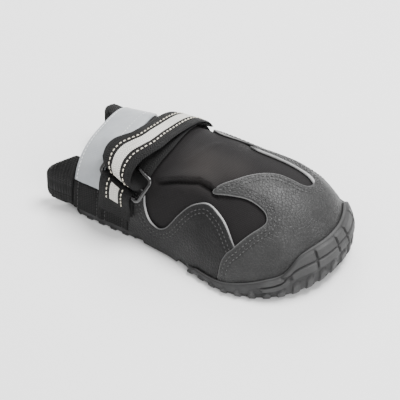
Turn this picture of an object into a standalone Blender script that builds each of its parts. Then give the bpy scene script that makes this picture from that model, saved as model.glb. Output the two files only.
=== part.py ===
"""Dog boot with a rubber sole, a softshell upper and a strap through a plastic ring.

Metres, +X towards the toe, +Y to the boot's left, +Z up. Every curved piece is worked out
from one form, the last: its cross sections are arches whose width, height and squareness
change along the boot, and a piece outside it uses the same form grown by its own depth.
Places along the boot are measured from the top edge of the shaft's mouth.
"""

import math

import bmesh
import bpy
import numpy as np
from mathutils import Matrix

MM = 0.001

# driving dimensions
LAST_LENGTH = 138.5 * MM
BALL_HALF_WIDTH = 39.5 * MM
INSTEP_HEIGHT = 47.5 * MM
CROWN_LEAN = 5.5 * MM
TOE_CURVE = 2.0 * MM
NOSE_FROM = 0.68

UPPER_WALL = 2.0 * MM
LEATHER = 1.2 * MM
CLOTH = 1.0 * MM
WEBBING = 1.2 * MM
WEBBING_WIDTH = 20.0 * MM
GAP = 0.35 * MM

SOLE_PLATE = 4.0 * MM
SOLE_REAR = 0.5 * MM
RIM_INNER = GAP + LEATHER + GAP
RIM_WALL = 1.5 * MM
HEEL_LEDGE = 1.2 * MM
WAIST_INSET = 0.2 * MM
PLATE_INSET = 1.2 * MM
BUMPER_HEIGHT = 23.5 * MM
BUMPER_BLOCK = 0.9 * MM
LUG_DEPTH = 1.2 * MM
LUG_PITCH = 7.6 * MM
GROOVE_DEPTH = 1.5 * MM
GROOVE_WIDTH = 2.2 * MM
TOE_SPRING = 6.0 * MM
ARCH_LIFT = 1.2 * MM
HEEL_CORNER = 6.0 * MM

INSOLE = 1.6 * MM

COLLAR_REACH = 16.4 * MM
COLLAR_NOTCH = 9.0 * MM
COLLAR_PAD = 5.0 * MM
COLLAR_LIFT = 0.2 * MM
COLLAR_TALL = 0.88

BAND_WIDTH = 16.7 * MM
HEEL_PANEL_TOP = 0.62
HEEL_PANEL_RISE = 4.0 * MM
BAND_END_HEIGHT = 22.0 * MM

STRAP_UNDER = GAP + LEATHER + GAP
STRAP_END = 28.0 * MM
STRAP_TOP_END = 23.0 * MM
STRAP_PLACE = 37.0 * MM
FOLD_START = 33.0 * MM
FOLD_END = 26.5 * MM
FOLD_TURN = math.radians(20.0)
STRAP_LOOP = 2.6 * MM
STRAP_SLACK = 4.0 * MM

RING_PLACE = 30.6 * MM
RING_DOWN = 26.0 * MM
RING_LENGTH = 29.0 * MM
RING_HEIGHT = 14.8 * MM
RING_WIRE = 2.3 * MM
RING_PLAY = 0.3 * MM
RING_CORNER = 2.2 * MM
RING_TURN = math.radians(23.0)
TAB_LENGTH = 13.5 * MM
TAB_BACK = 1.0 * MM
TAB_SLOPE = 0.2
TAB_STEP = 1.5 * MM

# the loose upper layer's middle line: distance from the crown as a share of the ball's half
# width, and how far forward of the fold's end it lies as a share of the webbing's width
STRAP_LINE = (
    (-0.63, 0.00), (-0.51, -0.02), (-0.40, 0.07), (-0.31, 0.24), (-0.22, 0.39),
    (-0.05, 0.47), (0.18, 0.53), (0.58, 0.62),
)

# the last's sections: place as a share of the length, half width as a share of the ball's,
# crown as a share of the instep, lean and curve as shares of theirs, squareness of each side
COLUMNS = ("place", "half", "crown", "lean", "curve", "near_square", "far_square")
SECTIONS = (
    (0.000, 0.735, 0.780, 0.00, 0.00, 3.10, 3.10),
    (0.135, 0.750, 0.865, 0.00, 0.00, 2.90, 3.10),
    (0.280, 0.765, 0.950, 0.08, 0.00, 2.50, 2.90),
    (0.430, 0.825, 0.985, 0.30, 0.00, 2.30, 2.50),
    (0.560, 0.912, 0.960, 0.60, 0.00, 2.20, 2.15),
    (0.685, 0.992, 0.910, 0.85, 0.00, 2.20, 2.05),
    (0.780, 0.980, 0.875, 0.80, 0.30, 2.20, 2.05),
    (0.880, 0.965, 0.850, 0.65, 0.70, 2.20, 2.10),
    (1.000, 0.955, 0.830, 0.50, 1.00, 2.20, 2.20),
)
NOSE_WIDTH_ROUND = 2.2
NOSE_CROWN_ROUND = 2.5

# the rubber's top edge: place as a share of the length, height of the bumper's
RIM_EDGE = (
    (0.50, 0.225), (0.64, 0.228), (0.76, 0.360), (0.84, 0.520), (0.90, 0.660),
    (0.935, 0.800), (0.965, 0.950), (1.00, 1.000),
)

# the quarter's wavy top edge: place as a share of the length, height of the instep's
QUARTER_EDGE = (
    (0.246, 0.640), (0.282, 0.655), (0.299, 0.620), (0.310, 0.510), (0.332, 0.385),
    (0.360, 0.325), (0.388, 0.318), (0.418, 0.385), (0.455, 0.565), (0.488, 0.690),
    (0.526, 0.755), (0.560, 0.770), (0.610, 0.725), (0.652, 0.660), (0.665, 0.630),
)

LEFT_CREST = 1.05
CREST_REAR = 0.40
CREST_FRONT = 0.57
CREST_RAMP = 0.08
QUARTER_REAR = 0.250
QUARTER_FRONT = 0.664

# the toe cap's rear edge seen from above: place as a share of the length, and the distance
# from the middle as a share of the ball's half width, from the right side to the left
CAP_EDGE = (
    (0.668, -1.40), (0.668, -1.00), (0.680, -0.90), (0.704, -0.83), (0.744, -0.66),
    (0.774, -0.52), (0.777, -0.44), (0.752, -0.37), (0.685, -0.345), (0.617, -0.40),
    (0.556, -0.46), (0.563, -0.36), (0.604, -0.20), (0.642, -0.03), (0.682, 0.11),
    (0.724, 0.20), (0.768, 0.235), (0.808, 0.26), (0.829, 0.33), (0.828, 0.44),
    (0.800, 0.515), (0.752, 0.535), (0.665, 0.52), (0.588, 0.485), (0.556, 0.50),
    (0.617, 0.64), (0.714, 0.74), (0.771, 0.79), (0.777, 0.86), (0.747, 0.94),
    (0.704, 1.00), (0.680, 1.05), (0.668, 1.10), (0.668, 1.40),
)

HEEL_TREAD = (0.035, 0.095, 0.155, 0.215)
BALL_TREAD = (0.58, 0.64, 0.70, 0.76)

ROWS_SIDE = 13
ROWS_NOSE = 11
ARCH_POINTS = 23
QUARTER_ROWS = 6
QUARTER_COLUMNS = 25
WEBBING_COLUMNS = 3
LOWER_ROWS = 9
UPPER_ROWS = 16
TAB_ROWS = 4
COLLAR_STEPS = 27

RUBBER = ("rubber", (0.050, 0.051, 0.053), 0.62, 0.0)
CAP_LEATHER = ("cap_leather", (0.075, 0.076, 0.078), 0.55, 0.0)
SIDE_LEATHER = ("side_leather", (0.038, 0.039, 0.041), 0.58, 0.0)
SOFTSHELL = ("softshell", (0.020, 0.018, 0.019), 0.80, 0.0)
MESH_CLOTH = ("mesh_cloth", (0.022, 0.022, 0.024), 0.85, 0.0)
WOVEN = ("woven", (0.013, 0.013, 0.014), 0.80, 0.0)
SILVER = ("silver_film", (0.52, 0.54, 0.56), 0.45, 0.0)
WEBBING_BLACK = ("webbing", (0.018, 0.018, 0.019), 0.75, 0.0)
RING_PLASTIC = ("ring_plastic", (0.012, 0.012, 0.013), 0.25, 0.0)
FOAM = ("insole_foam", (0.030, 0.030, 0.032), 0.90, 0.0)


def start_scene():
    for item in list(bpy.data.objects):
        bpy.data.objects.remove(item, do_unlink=True)
    scene = bpy.context.scene
    boot = bpy.data.collections.new("dog_boot")
    cutters = bpy.data.collections.new("cutters")
    scene.collection.children.link(boot)
    scene.collection.children.link(cutters)
    return boot, cutters


def material(spec):
    name, colour, rough, metal = spec
    made = bpy.data.materials.get(name) or bpy.data.materials.new(name)
    made.use_nodes = True
    shader = made.node_tree.nodes["Principled BSDF"]
    shader.inputs["Base Color"].default_value = (*colour, 1.0)
    shader.inputs["Roughness"].default_value = rough
    shader.inputs["Metallic"].default_value = metal
    return made


def ease(value):
    """0 below 0, 1 above 1, and a smooth rise between."""
    value = min(1.0, max(0.0, value))
    return value * value * (3.0 - 2.0 * value)


def through(table, column, place):
    """A smooth curve through one column of a table whose first column is the place."""
    places = [row[0] for row in table]
    values = [row[column] for row in table]
    if place <= places[0]:
        return values[0]
    if place >= places[-1]:
        return values[-1]
    i = max(k for k in range(len(places) - 1) if places[k] <= place)

    def slope(k):
        a, b = max(0, k - 1), min(len(places) - 1, k + 1)
        return (values[b] - values[a]) / (places[b] - places[a])

    step = places[i + 1] - places[i]
    u = (place - places[i]) / step
    start, end = slope(i) * step, slope(i + 1) * step
    rise = values[i + 1] - values[i]
    return values[i] + u * (start + u * (3 * rise - 2 * start - end + u * (start + end - 2 * rise)))


def shape(column, share):
    return through(SECTIONS, COLUMNS.index(column), share)


class Section:
    """The last's cross section at one place, grown outwards by some depth."""

    def __init__(self, x, grow):
        share = x / LAST_LENGTH
        self.half = BALL_HALF_WIDTH * shape("half", share) + grow
        self.crown = INSTEP_HEIGHT * shape("crown", share) + grow
        self.lean = CROWN_LEAN * shape("lean", share)
        self.curve = TOE_CURVE * shape("curve", share)
        self.square = {-1: shape("near_square", share), 1: shape("far_square", share)}
        start = NOSE_FROM * LAST_LENGTH
        reach = (x - start) / (LAST_LENGTH + grow - start)
        if reach > 0.0:
            left = max(0.0, 1.0 - min(reach, 1.0) ** NOSE_WIDTH_ROUND)
            self.half *= left ** (1.0 / NOSE_WIDTH_ROUND)
            left = max(0.0, 1.0 - min(reach, 1.0) ** NOSE_CROWN_ROUND)
            self.crown *= left ** (1.0 / NOSE_CROWN_ROUND)

    def across(self, z, side):
        """Distance from the middle plane of the wall at height z, on side -1 or 1."""
        if self.crown <= 0.0:
            return self.curve
        share = min(1.0, max(0.0, z / self.crown))
        power = self.square[side]
        wide = self.half * (1.0 - share ** power) ** (1.0 / power)
        return self.curve + side * wide + self.lean * share

    def arch(self, z_from, fine=240):
        """Dense points of the arch from its right foot to its left foot."""
        points = []
        for k in range(fine + 1):
            angle = math.pi * k / fine
            side = -1 if k * 2 < fine else 1
            power = 2.0 / self.square[side]
            y = -self.half * math.copysign(abs(math.cos(angle)) ** power, math.cos(angle))
            z = self.crown * math.sin(angle) ** power
            if z > z_from:
                points.append((self.curve + y + self.lean * z / self.crown, z))
        foot = min(z_from, self.crown)
        first, last = (self.across(foot, -1), foot), (self.across(foot, 1), foot)
        return np.array([first] + points + [last])


def even(points, count):
    """Points spread evenly along a polyline."""
    steps = np.hypot(*np.diff(points, axis=0).T)
    run = np.concatenate([[0.0], np.cumsum(steps)])
    places = np.linspace(0.0, run[-1], count)
    return [(float(np.interp(p, run, points[:, 0])), float(np.interp(p, run, points[:, 1])))
            for p in places]


def sole_bottom(x):
    share = x / LAST_LENGTH
    waist = ease((share - 0.25) / 0.10) * (1.0 - ease((share - 0.43) / 0.10))
    spring = max(0.0, (share - 0.80) / 0.20)
    return ARCH_LIFT * waist + TOE_SPRING * spring ** 2


def plate_top(x):
    return sole_bottom(x) + SOLE_PLATE


def rim_top(x):
    """Height of the rubber's top edge, from the side wall up to the toe bumper."""
    return BUMPER_HEIGHT * through(RIM_EDGE, 1, x / LAST_LENGTH)


def waist_share(x):
    """1 in the waist, where the leather comes down over the sole's edge, 0 elsewhere."""
    share = x / LAST_LENGTH
    return ease((share - 0.245) / 0.05) * (1.0 - ease((share - 0.505) / 0.07))


def nose_place(level, grow):
    """The foremost place where the grown last is as high as level(place)."""
    low, high = NOSE_FROM * LAST_LENGTH, LAST_LENGTH + grow
    for _ in range(50):
        middle = 0.5 * (low + high)
        if Section(middle, grow).crown > level(middle):
            low = middle
        else:
            high = middle
    return low


def make_object(name, build, collection, spec, smooth=True):
    mesh = bpy.data.meshes.new(name)
    bmesh.ops.recalc_face_normals(build, faces=build.faces)
    build.to_mesh(mesh)
    build.free()
    item = bpy.data.objects.new(name, mesh)
    collection.objects.link(item)
    if spec:
        mesh.materials.append(material(spec))
    if smooth:
        mesh.shade_smooth()
        mesh.set_sharp_from_angle(angle=math.radians(35.0))
    return item


def shell(name, outer, inner, collection, spec, capped=False):
    """A closed wall between two grids of points, open or capped at its last row."""
    build = bmesh.new()
    outs = [[build.verts.new(p) for p in row] for row in outer]
    ins = [[build.verts.new(p) for p in row] for row in inner]
    rows, columns = len(outs), len(outs[0])
    for r in range(rows - 1):
        for c in range(columns - 1):
            build.faces.new((outs[r][c], outs[r + 1][c], outs[r + 1][c + 1], outs[r][c + 1]))
            build.faces.new((ins[r][c], ins[r][c + 1], ins[r + 1][c + 1], ins[r + 1][c]))
        for c in (0, columns - 1):
            build.faces.new((outs[r][c], outs[r + 1][c], ins[r + 1][c], ins[r][c]))
    for c in range(columns - 1):
        build.faces.new((outs[0][c], outs[0][c + 1], ins[0][c + 1], ins[0][c]))
        if not capped:
            build.faces.new((outs[-1][c], outs[-1][c + 1], ins[-1][c + 1], ins[-1][c]))
    if capped:
        build.faces.new(outs[-1])
        build.faces.new(ins[-1])
        build.faces.new((outs[-1][0], outs[-1][-1], ins[-1][-1], ins[-1][0]))
    return make_object(name, build, collection, spec)


def loft(name, loops, collection, spec):
    """A closed solid through closed loops of equal counts, with flat ends."""
    build = bmesh.new()
    rings = [[build.verts.new(p) for p in loop] for loop in loops]
    count = len(rings[0])
    for a, b in zip(rings, rings[1:]):
        for k in range(count):
            j = (k + 1) % count
            build.faces.new((a[k], a[j], b[j], b[k]))
    build.faces.new(rings[0])
    build.faces.new(rings[-1])
    return make_object(name, build, collection, spec)


def cut(target, cutter, operation="DIFFERENCE"):
    cutter.hide_render = True
    cutter.display_type = "WIRE"
    change = target.modifiers.new(operation.lower(), "BOOLEAN")
    change.operation = operation
    change.solver = "EXACT"
    change.object = cutter


def long_places(start, end, side_rows, nose_rows):
    """Places along the boot, even on the straight part and close together at the nose."""
    bend = NOSE_FROM * LAST_LENGTH
    straight = [start + (bend - start) * k / side_rows for k in range(side_rows)]
    nose = [bend + (end - bend) * math.sin(0.5 * math.pi * k / nose_rows)
            for k in range(nose_rows + 1)]
    return straight + nose


def arch_grid(start, foot, grow, side_rows, nose_rows, columns):
    """Rows of arch points of the grown last, from a start place to its nose."""
    end = nose_place(lambda x: foot(x) + 1.2 * MM, grow)
    rows = []
    for x in long_places(start, end, side_rows, nose_rows):
        points = even(Section(x, grow).arch(foot(x)), columns)
        rows.append([(x, y, z) for y, z in points])
    return rows


def upper_foot(x):
    return plate_top(x) + GAP


def make_upper(collection):
    outer = arch_grid(0.0, upper_foot, 0.0, ROWS_SIDE, ROWS_NOSE, ARCH_POINTS)
    inner = arch_grid(0.0, upper_foot, -UPPER_WALL, ROWS_SIDE, ROWS_NOSE, ARCH_POINTS)
    return shell("upper", outer, inner, collection, SOFTSHELL, capped=True)


def ring_points(level, grow, shares, bump=None, rear=SOLE_REAR):
    """A level line round the grown last, right side first, nose, then left side back.

    A bump moves a point straight out of the line, seen from above.
    """
    nose = nose_place(level, grow(LAST_LENGTH))
    near, far = [], []
    for share in shares[:-1]:
        x = rear + (LAST_LENGTH - rear) * share
        x += (nose - LAST_LENGTH) * ease(2.0 * share - 1.0)
        corner = max(0.0, SOLE_REAR + HEEL_CORNER - x) / HEEL_CORNER
        pull = HEEL_CORNER * (1.0 - math.sqrt(1.0 - corner ** 2))
        section = Section(x, grow(x))
        z = level(x)
        near.append((x, section.across(z, -1) + pull, z))
        far.append((x, section.across(z, 1) - pull, z))
    tip = Section(nose, grow(LAST_LENGTH))
    line = near + [(nose, tip.curve + tip.lean, level(nose))] + far[::-1]
    if not bump:
        return line
    moved = []
    last = len(line) - 1
    for k, (x, y, z) in enumerate(line):
        before, after = line[max(0, k - 1)], line[min(last, k + 1)]
        along_x, along_y = after[0] - before[0], after[1] - before[1]
        out = bump(min(k, last - k), x) / math.hypot(along_x, along_y)
        moved.append((x + along_y * out, y - along_x * out, z))
    return moved


def even_shares(grow, count):
    """Shares of the way to the nose that space the sole's outline evenly."""
    fine = 600
    nose = LAST_LENGTH + grow
    places = [SOLE_REAR + (nose - SOLE_REAR) * math.sin(0.5 * math.pi * k / fine)
              for k in range(fine + 1)]
    line = np.array([(x, Section(x, grow).across(0.0, -1)) for x in places])
    run = np.concatenate([[0.0], np.cumsum(np.hypot(*np.diff(line, axis=0).T))])
    wanted = np.linspace(0.0, run[-1], count + 1)
    spots = np.interp(wanted, run, line[:, 0])
    return [float((x - SOLE_REAR) / (nose - SOLE_REAR)) for x in spots], float(run[-1])


def fore_share(x):
    """0 at the heel, where the rubber stays under the upper, 1 in front of the waist."""
    return ease((x / LAST_LENGTH - 0.37) / 0.08)


def out_share(x):
    """How far the rubber stands out of the upper, from 0 in the waist to 1 elsewhere."""
    return min(1.0, 2.0 * (1.0 - waist_share(x)))


def sole_level(share):
    """Height at a share of the way from the sole's underside to its top edge."""
    def level(x):
        rise = max(0.0, 1.0 - 4.0 * waist_share(x)) * fore_share(x)
        rise = rise if rise > 0.03 else 0.0
        top = plate_top(x) + max(0.0, rim_top(x) - plate_top(x)) * rise
        return sole_bottom(x) + share * (top - sole_bottom(x))
    return level


def rim_level(share):
    """Height at a share of the way from the plate to the rubber's top edge."""
    top = sole_level(1.0)
    return lambda x: plate_top(x) + share * (top(x) - plate_top(x))


def sole_outside(inset):
    """Growth of the rubber's outside, less an inset."""
    def grow(x):
        fore, out = fore_share(x), out_share(x)
        wide = (HEEL_LEDGE - 0.5 * inset) * (1.0 - fore)
        wide += (RIM_INNER + RIM_WALL - inset) * fore
        return wide * out - WAIST_INSET * (1.0 - out)
    return grow


def sole_inside(x):
    """Growth of the rubber's inside, which drops to the plate at the waist and the heel."""
    open_share = out_share(x) * fore_share(x)
    return RIM_INNER * open_share - PLATE_INSET * (1.0 - open_share)


def side_lug(k, x):
    """Depth of the side lugs, two points out and two points in."""
    return LUG_DEPTH * out_share(x) if k % 4 in (1, 2) else 0.0


def toe_block(k, x):
    """Depth of the bumper's blocks, which fade in towards the nose."""
    toe = ease((x / LAST_LENGTH - 0.80) / 0.08)
    return BUMPER_BLOCK * toe if k % 8 not in (0, 7) else 0.0


def make_sole(collection, cutters):
    _, run = even_shares(RIM_INNER + RIM_WALL, 40)
    shares, _ = even_shares(RIM_INNER + RIM_WALL, 4 * round(run / LUG_PITCH) + 2)
    rings = [
        ring_points(sole_level(0.0), sole_outside(2.6 * MM), shares, side_lug),
        ring_points(sole_level(0.34), sole_outside(1.0 * MM), shares, side_lug),
        ring_points(sole_level(0.42), sole_outside(0.4 * MM), shares),
        ring_points(sole_level(0.50), sole_outside(0.2 * MM), shares, toe_block),
        ring_points(sole_level(0.72), sole_outside(0.1 * MM), shares, toe_block),
        ring_points(sole_level(0.92), sole_outside(0.2 * MM), shares, toe_block),
        ring_points(sole_level(1.0), sole_outside(0.5 * MM), shares),
    ]
    rings += [
        ring_points(rim_level(share), sole_inside, shares, rear=SOLE_REAR + PLATE_INSET)
        for share in (1.0, 0.72, 0.40, 0.0)
    ]
    build = bmesh.new()
    loops = [[build.verts.new(p) for p in ring] for ring in rings]
    count = len(loops[0])
    for a, b in zip(loops, loops[1:]):
        for k in range(count):
            j = (k + 1) % count
            build.faces.new((a[k], a[j], b[j], b[k]))
    for loop in (loops[0], loops[-1]):
        half = count // 2
        for k in range(half - 1):
            build.faces.new((loop[k], loop[k + 1], loop[count - 2 - k], loop[count - 1 - k]))
        build.faces.new((loop[half - 1], loop[half], loop[half + 1]))
    bmesh.ops.remove_doubles(build, verts=build.verts, dist=1e-6)
    sole = make_object("sole", build, collection, RUBBER)
    cut(sole, tread_bars(cutters))
    return sole


def tread_bars(cutters):
    """Bars across the sole that leave flat lugs between the grooves."""
    build = bmesh.new()
    for share in HEEL_TREAD + BALL_TREAD:
        bar = bmesh.ops.create_cube(build, size=1.0)["verts"]
        bmesh.ops.scale(build, verts=bar, vec=(GROOVE_WIDTH, 4 * BALL_HALF_WIDTH, 2 * GROOVE_DEPTH))
        bmesh.ops.translate(build, verts=bar, vec=(share * LAST_LENGTH, 0.0, 0.0))
    return make_object("tread_bars", build, cutters, None, smooth=False)


def make_insole(collection):
    grow = -UPPER_WALL - GAP

    def high(x):
        return upper_foot(x) + INSOLE

    loops = []
    end = nose_place(high, grow) - 1.0 * MM
    for x in long_places(0.8 * MM, end, 10, 9):
        section = Section(x, grow)
        low, top = upper_foot(x), high(x)
        loops.append([
            (x, section.across(low, -1), low), (x, section.across(low, 1), low),
            (x, section.across(top, 1), top), (x, section.across(top, -1), top),
        ])
    return loft("insole", loops, collection, FOAM)


def smooth_line(table, along, across, steps=4):
    """A smooth line through a table's points, in metres."""
    points = np.array(table) * (along, across)
    padded = np.vstack([2 * points[0] - points[1], points, 2 * points[-1] - points[-2]])
    line = []
    for i in range(1, len(padded) - 2):
        a, b, c, d = padded[i - 1:i + 3]
        for k in range(steps):
            u = k / steps
            line.append(0.5 * (2 * b + (c - a) * u + (2 * a - 5 * b + 4 * c - d) * u ** 2
                               + (3 * b - a - 3 * c + d) * u ** 3))
    line.append(points[-1])
    return line


def prism(name, outline, low, high, cutters):
    """A flat outline in plan, filled and drawn out from one height to another."""
    curve = bpy.data.curves.new(name, "CURVE")
    curve.dimensions = "2D"
    curve.fill_mode = "BOTH"
    curve.extrude = 0.5 * (high - low)
    spline = curve.splines.new("POLY")
    spline.points.add(len(outline) - 1)
    for point, (x, y) in zip(spline.points, outline):
        point.co = (x, y, 0.0, 1.0)
    spline.use_cyclic_u = True
    wire = bpy.data.objects.new(name + "_outline", curve)
    wire.matrix_world = Matrix.Translation((0.0, 0.0, 0.5 * (low + high)))
    cutters.objects.link(wire)
    bpy.context.view_layer.update()
    graph = bpy.context.evaluated_depsgraph_get()
    mesh = bpy.data.meshes.new_from_object(wire.evaluated_get(graph))
    build = bmesh.new()
    build.from_mesh(mesh)
    bmesh.ops.remove_doubles(build, verts=build.verts, dist=1e-6)
    bmesh.ops.recalc_face_normals(build, faces=build.faces)
    build.to_mesh(mesh)
    build.free()
    item = bpy.data.objects.new(name, mesh)
    item.matrix_world = wire.matrix_world
    cutters.objects.link(item)
    bpy.data.objects.remove(wire, do_unlink=True)
    return item


def make_toe_cap(collection, cutters):
    start = 0.55 * LAST_LENGTH
    outer = arch_grid(start, upper_foot, GAP + LEATHER, 6, ROWS_NOSE, ARCH_POINTS)
    inner = arch_grid(start, upper_foot, GAP, 6, ROWS_NOSE, ARCH_POINTS)
    cap = shell("toe_cap", outer, inner, collection, CAP_LEATHER, capped=True)
    edge = [tuple(p) for p in smooth_line(CAP_EDGE, LAST_LENGTH, BALL_HALF_WIDTH, 3)]
    front = LAST_LENGTH * 1.2
    outline = edge + [(front, edge[-1][1]), (front, edge[0][1])]
    form = prism("cap_form", outline, -0.2 * INSTEP_HEIGHT, 1.4 * INSTEP_HEIGHT, cutters)
    cut(cap, form, "INTERSECT")
    return cap


def side_grid(places, low, high, side, grow, rows):
    """Points of one side of the grown last between two heights."""
    grid = []
    for x in places:
        section = Section(x, grow)
        heights = [low(x) + (high(x) - low(x)) * k / rows for k in range(rows + 1)]
        grid.append([(x, section.across(z, side), z) for z in heights])
    return grid


def quarter_foot(x):
    """The quarter comes down over the sole's edge in the waist and stands on it elsewhere."""
    share = x / LAST_LENGTH
    over = ease((share - 0.305) / 0.02) * (1.0 - ease((share - 0.475) / 0.02))
    return upper_foot(x) * (1.0 - over) + (sole_bottom(x) + 0.3 * MM) * over


def make_quarter(name, side, crest, collection):
    start, end = QUARTER_REAR * LAST_LENGTH, QUARTER_FRONT * LAST_LENGTH
    places = [start + (end - start) * k / QUARTER_COLUMNS for k in range(QUARTER_COLUMNS + 1)]

    def high(x):
        edge = through(QUARTER_EDGE, 1, x / LAST_LENGTH)
        share = x / LAST_LENGTH
        wave = ease((share - CREST_REAR) / CREST_RAMP)
        wave *= 1.0 - ease((share - CREST_FRONT) / CREST_RAMP)
        return INSTEP_HEIGHT * edge * (1.0 + (crest - 1.0) * wave)

    outer = side_grid(places, quarter_foot, high, side, GAP + LEATHER, QUARTER_ROWS)
    inner = side_grid(places, quarter_foot, high, side, GAP, QUARTER_ROWS)
    return shell(name, outer, inner, collection, SIDE_LEATHER)


def make_heel_panel(name, side, collection):
    """Woven panel of the heel, low under the band and higher in front of it."""
    front = QUARTER_REAR * LAST_LENGTH - GAP
    step = BAND_WIDTH + GAP
    rise = HEEL_PANEL_RISE
    places = [GAP + (step - GAP) * k / 3 for k in range(3)]
    places += [step + rise * k / 4 for k in range(4)]
    places += [step + rise + (front - step - rise) * k / 3 for k in range(4)]

    def high(x):
        low = BAND_END_HEIGHT - GAP
        return low + (HEEL_PANEL_TOP * INSTEP_HEIGHT - low) * ease((x - step) / rise)

    outer = side_grid(places, upper_foot, high, side, GAP + CLOTH, 6)
    inner = side_grid(places, upper_foot, high, side, GAP, 6)
    return shell(name, outer, inner, collection, WOVEN)


def make_band(collection):
    """Silver band over the top of the shaft, cut straight at both ends."""
    places = [GAP + (BAND_WIDTH - GAP) * k / 3 for k in range(4)]
    grids = []
    for grow in (GAP + CLOTH, GAP):
        rows = []
        for x in places:
            points = even(Section(x, grow).arch(BAND_END_HEIGHT), 19)
            rows.append([(x, y, z) for y, z in points])
        grids.append(rows)
    return shell("reflective_band", grids[0], grids[1], collection, SILVER)


def make_collar(collection):
    """Padded rim behind the mouth, with a lobe on each side and a dip at the back."""
    loops = []
    count = COLLAR_STEPS
    section = Section(0.0, GAP + CLOTH)
    half = section.half
    tall = 0.5 * (COLLAR_TALL * section.crown - COLLAR_LIFT)
    middle = tall + COLLAR_LIFT
    top_gap = math.radians(38.0)
    for k in range(count + 1):
        angle = top_gap + (2.0 * math.pi - 2.0 * top_gap) * k / count
        if math.cos(angle) < 0.0:
            dip = ease((1.0 - abs(math.sin(angle))) / 0.5)
            reach = COLLAR_REACH - COLLAR_NOTCH * dip
            power = 2.0 / 7.0
        else:
            lift = (math.cos(angle) / math.cos(top_gap)) ** 2
            reach = COLLAR_REACH * (1.0 - 0.8 * lift)
            power = 2.0 / 2.6

        def at(x, inset):
            c, s = math.cos(angle), math.sin(angle)
            y = -(half - inset) * math.copysign(abs(s) ** power, s)
            z = middle + (tall - inset) * math.copysign(abs(c) ** power, c)
            return (x, y, z)

        pad = COLLAR_PAD
        front = -GAP
        loops.append([
            at(front, 0.4 * MM), at(front - 0.45 * reach, 0.0), at(front - 0.82 * reach, 0.2 * MM),
            at(front - 0.97 * reach, 0.27 * pad), at(front - reach, 0.5 * pad),
            at(front - 0.95 * reach, 0.8 * pad), at(front - 0.8 * reach, pad),
            at(front - 0.4 * reach, pad), at(front, 0.9 * pad),
        ])
    return loft("collar", loops, collection, MESH_CLOTH)


def wall_frame(x, down):
    """Point and outward direction on the arch, down from its crown (minus is the right)."""
    points = Section(x, 0.0).arch(0.0)
    steps = np.hypot(*np.diff(points, axis=0).T)
    run = np.concatenate([[0.0], np.cumsum(steps)])
    crown = run[int(np.argmax(points[:, 1]))]
    here = crown + down
    spread = 1.5 * MM

    def place(s):
        return np.array([np.interp(s, run, points[:, 0]), np.interp(s, run, points[:, 1])])

    along = place(here + spread) - place(here - spread)
    along /= np.hypot(*along)
    return place(here), np.array([-along[1], along[0]])


def on_wall(x, down, out):
    spot, normal = wall_frame(x, down)
    y, z = spot + normal * out
    return (x, float(y), float(z))


def ribbon(name, path, columns, collection, spec):
    """Webbing along a path of rows (middle place, turn, lower edge, upper edge).

    An edge is a distance down from the crown and a distance out of the wall.
    """
    outer, inner = [], []
    for middle, turn, low, high in path:
        tops, bottoms = [], []
        for c in range(columns + 1):
            x = middle + WEBBING_WIDTH / math.hypot(1.0, turn) * (c / columns - 0.5)
            tilt = turn * (x - middle)
            tops.append(on_wall(x, high[0] + tilt, high[1]))
            bottoms.append(on_wall(x, low[0] + tilt, low[1]))
        outer.append(tops)
        inner.append(bottoms)
    return shell(name, outer, inner, collection, spec)


def fold(centre, out, radius, start, steps=8):
    """Rows round a half turn of webbing, from its lower layer to its upper layer.

    start is -1 where the fold's round side faces down to the right foot, and 1 up.
    """
    rows = []
    for k in range(steps + 1):
        angle = math.pi * k / steps
        shift, rise = start * math.sin(angle), -math.cos(angle)
        near = (centre + radius * shift, out + radius * rise)
        far = (centre + (radius + WEBBING) * shift, out + (radius + WEBBING) * rise)
        rows.append((far, near))
    return rows


def bar_spot(up):
    """Middle of one of the ring's long bars: place along the boot and distance down."""
    half = 0.5 * (RING_HEIGHT - RING_WIRE) * up
    return RING_PLACE + half * math.sin(RING_TURN), -RING_DOWN + half * math.cos(RING_TURN)


def make_strap(collection):
    """One length of webbing: over the top, round the ring's upper bar and back on itself."""
    lean = -math.tan(FOLD_TURN)
    centre = bar_spot(1)[1] - STRAP_SLACK
    out = STRAP_UNDER + WEBBING + STRAP_LOOP
    path = []
    for k in range(LOWER_ROWS + 1):
        share = k / LOWER_ROWS
        down = STRAP_END + (centre - STRAP_END) * share
        place = STRAP_PLACE + (FOLD_START - STRAP_PLACE) * ease((share - 0.65) / 0.35)
        turn = lean * ease((share - 0.50) / 0.5)
        path.append((place, turn, (down, STRAP_UNDER), (down, STRAP_UNDER + WEBBING)))
    rows = fold(centre, out, STRAP_LOOP, -1)
    for k, (far, near) in enumerate(rows[1:-1], 1):
        place = FOLD_START + (FOLD_END - FOLD_START) * k / (len(rows) - 1)
        path.append((place, lean, far, near))
    lay = STRAP_UNDER + WEBBING + GAP
    for k in range(UPPER_ROWS + 1):
        share = k / UPPER_ROWS
        down = centre + (STRAP_TOP_END - centre) * share
        loose = (out + STRAP_LOOP - lay) * (1.0 - ease(share / 0.72))
        place = FOLD_END + WEBBING_WIDTH * through(STRAP_LINE, 1, down / BALL_HALF_WIDTH)
        turn = lean * (1.0 - ease(share / 0.5))
        path.append((place, turn, (down, lay + loose + WEBBING), (down, lay + loose)))
    return ribbon("strap", path, WEBBING_COLUMNS, collection, WEBBING_BLACK)


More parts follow.
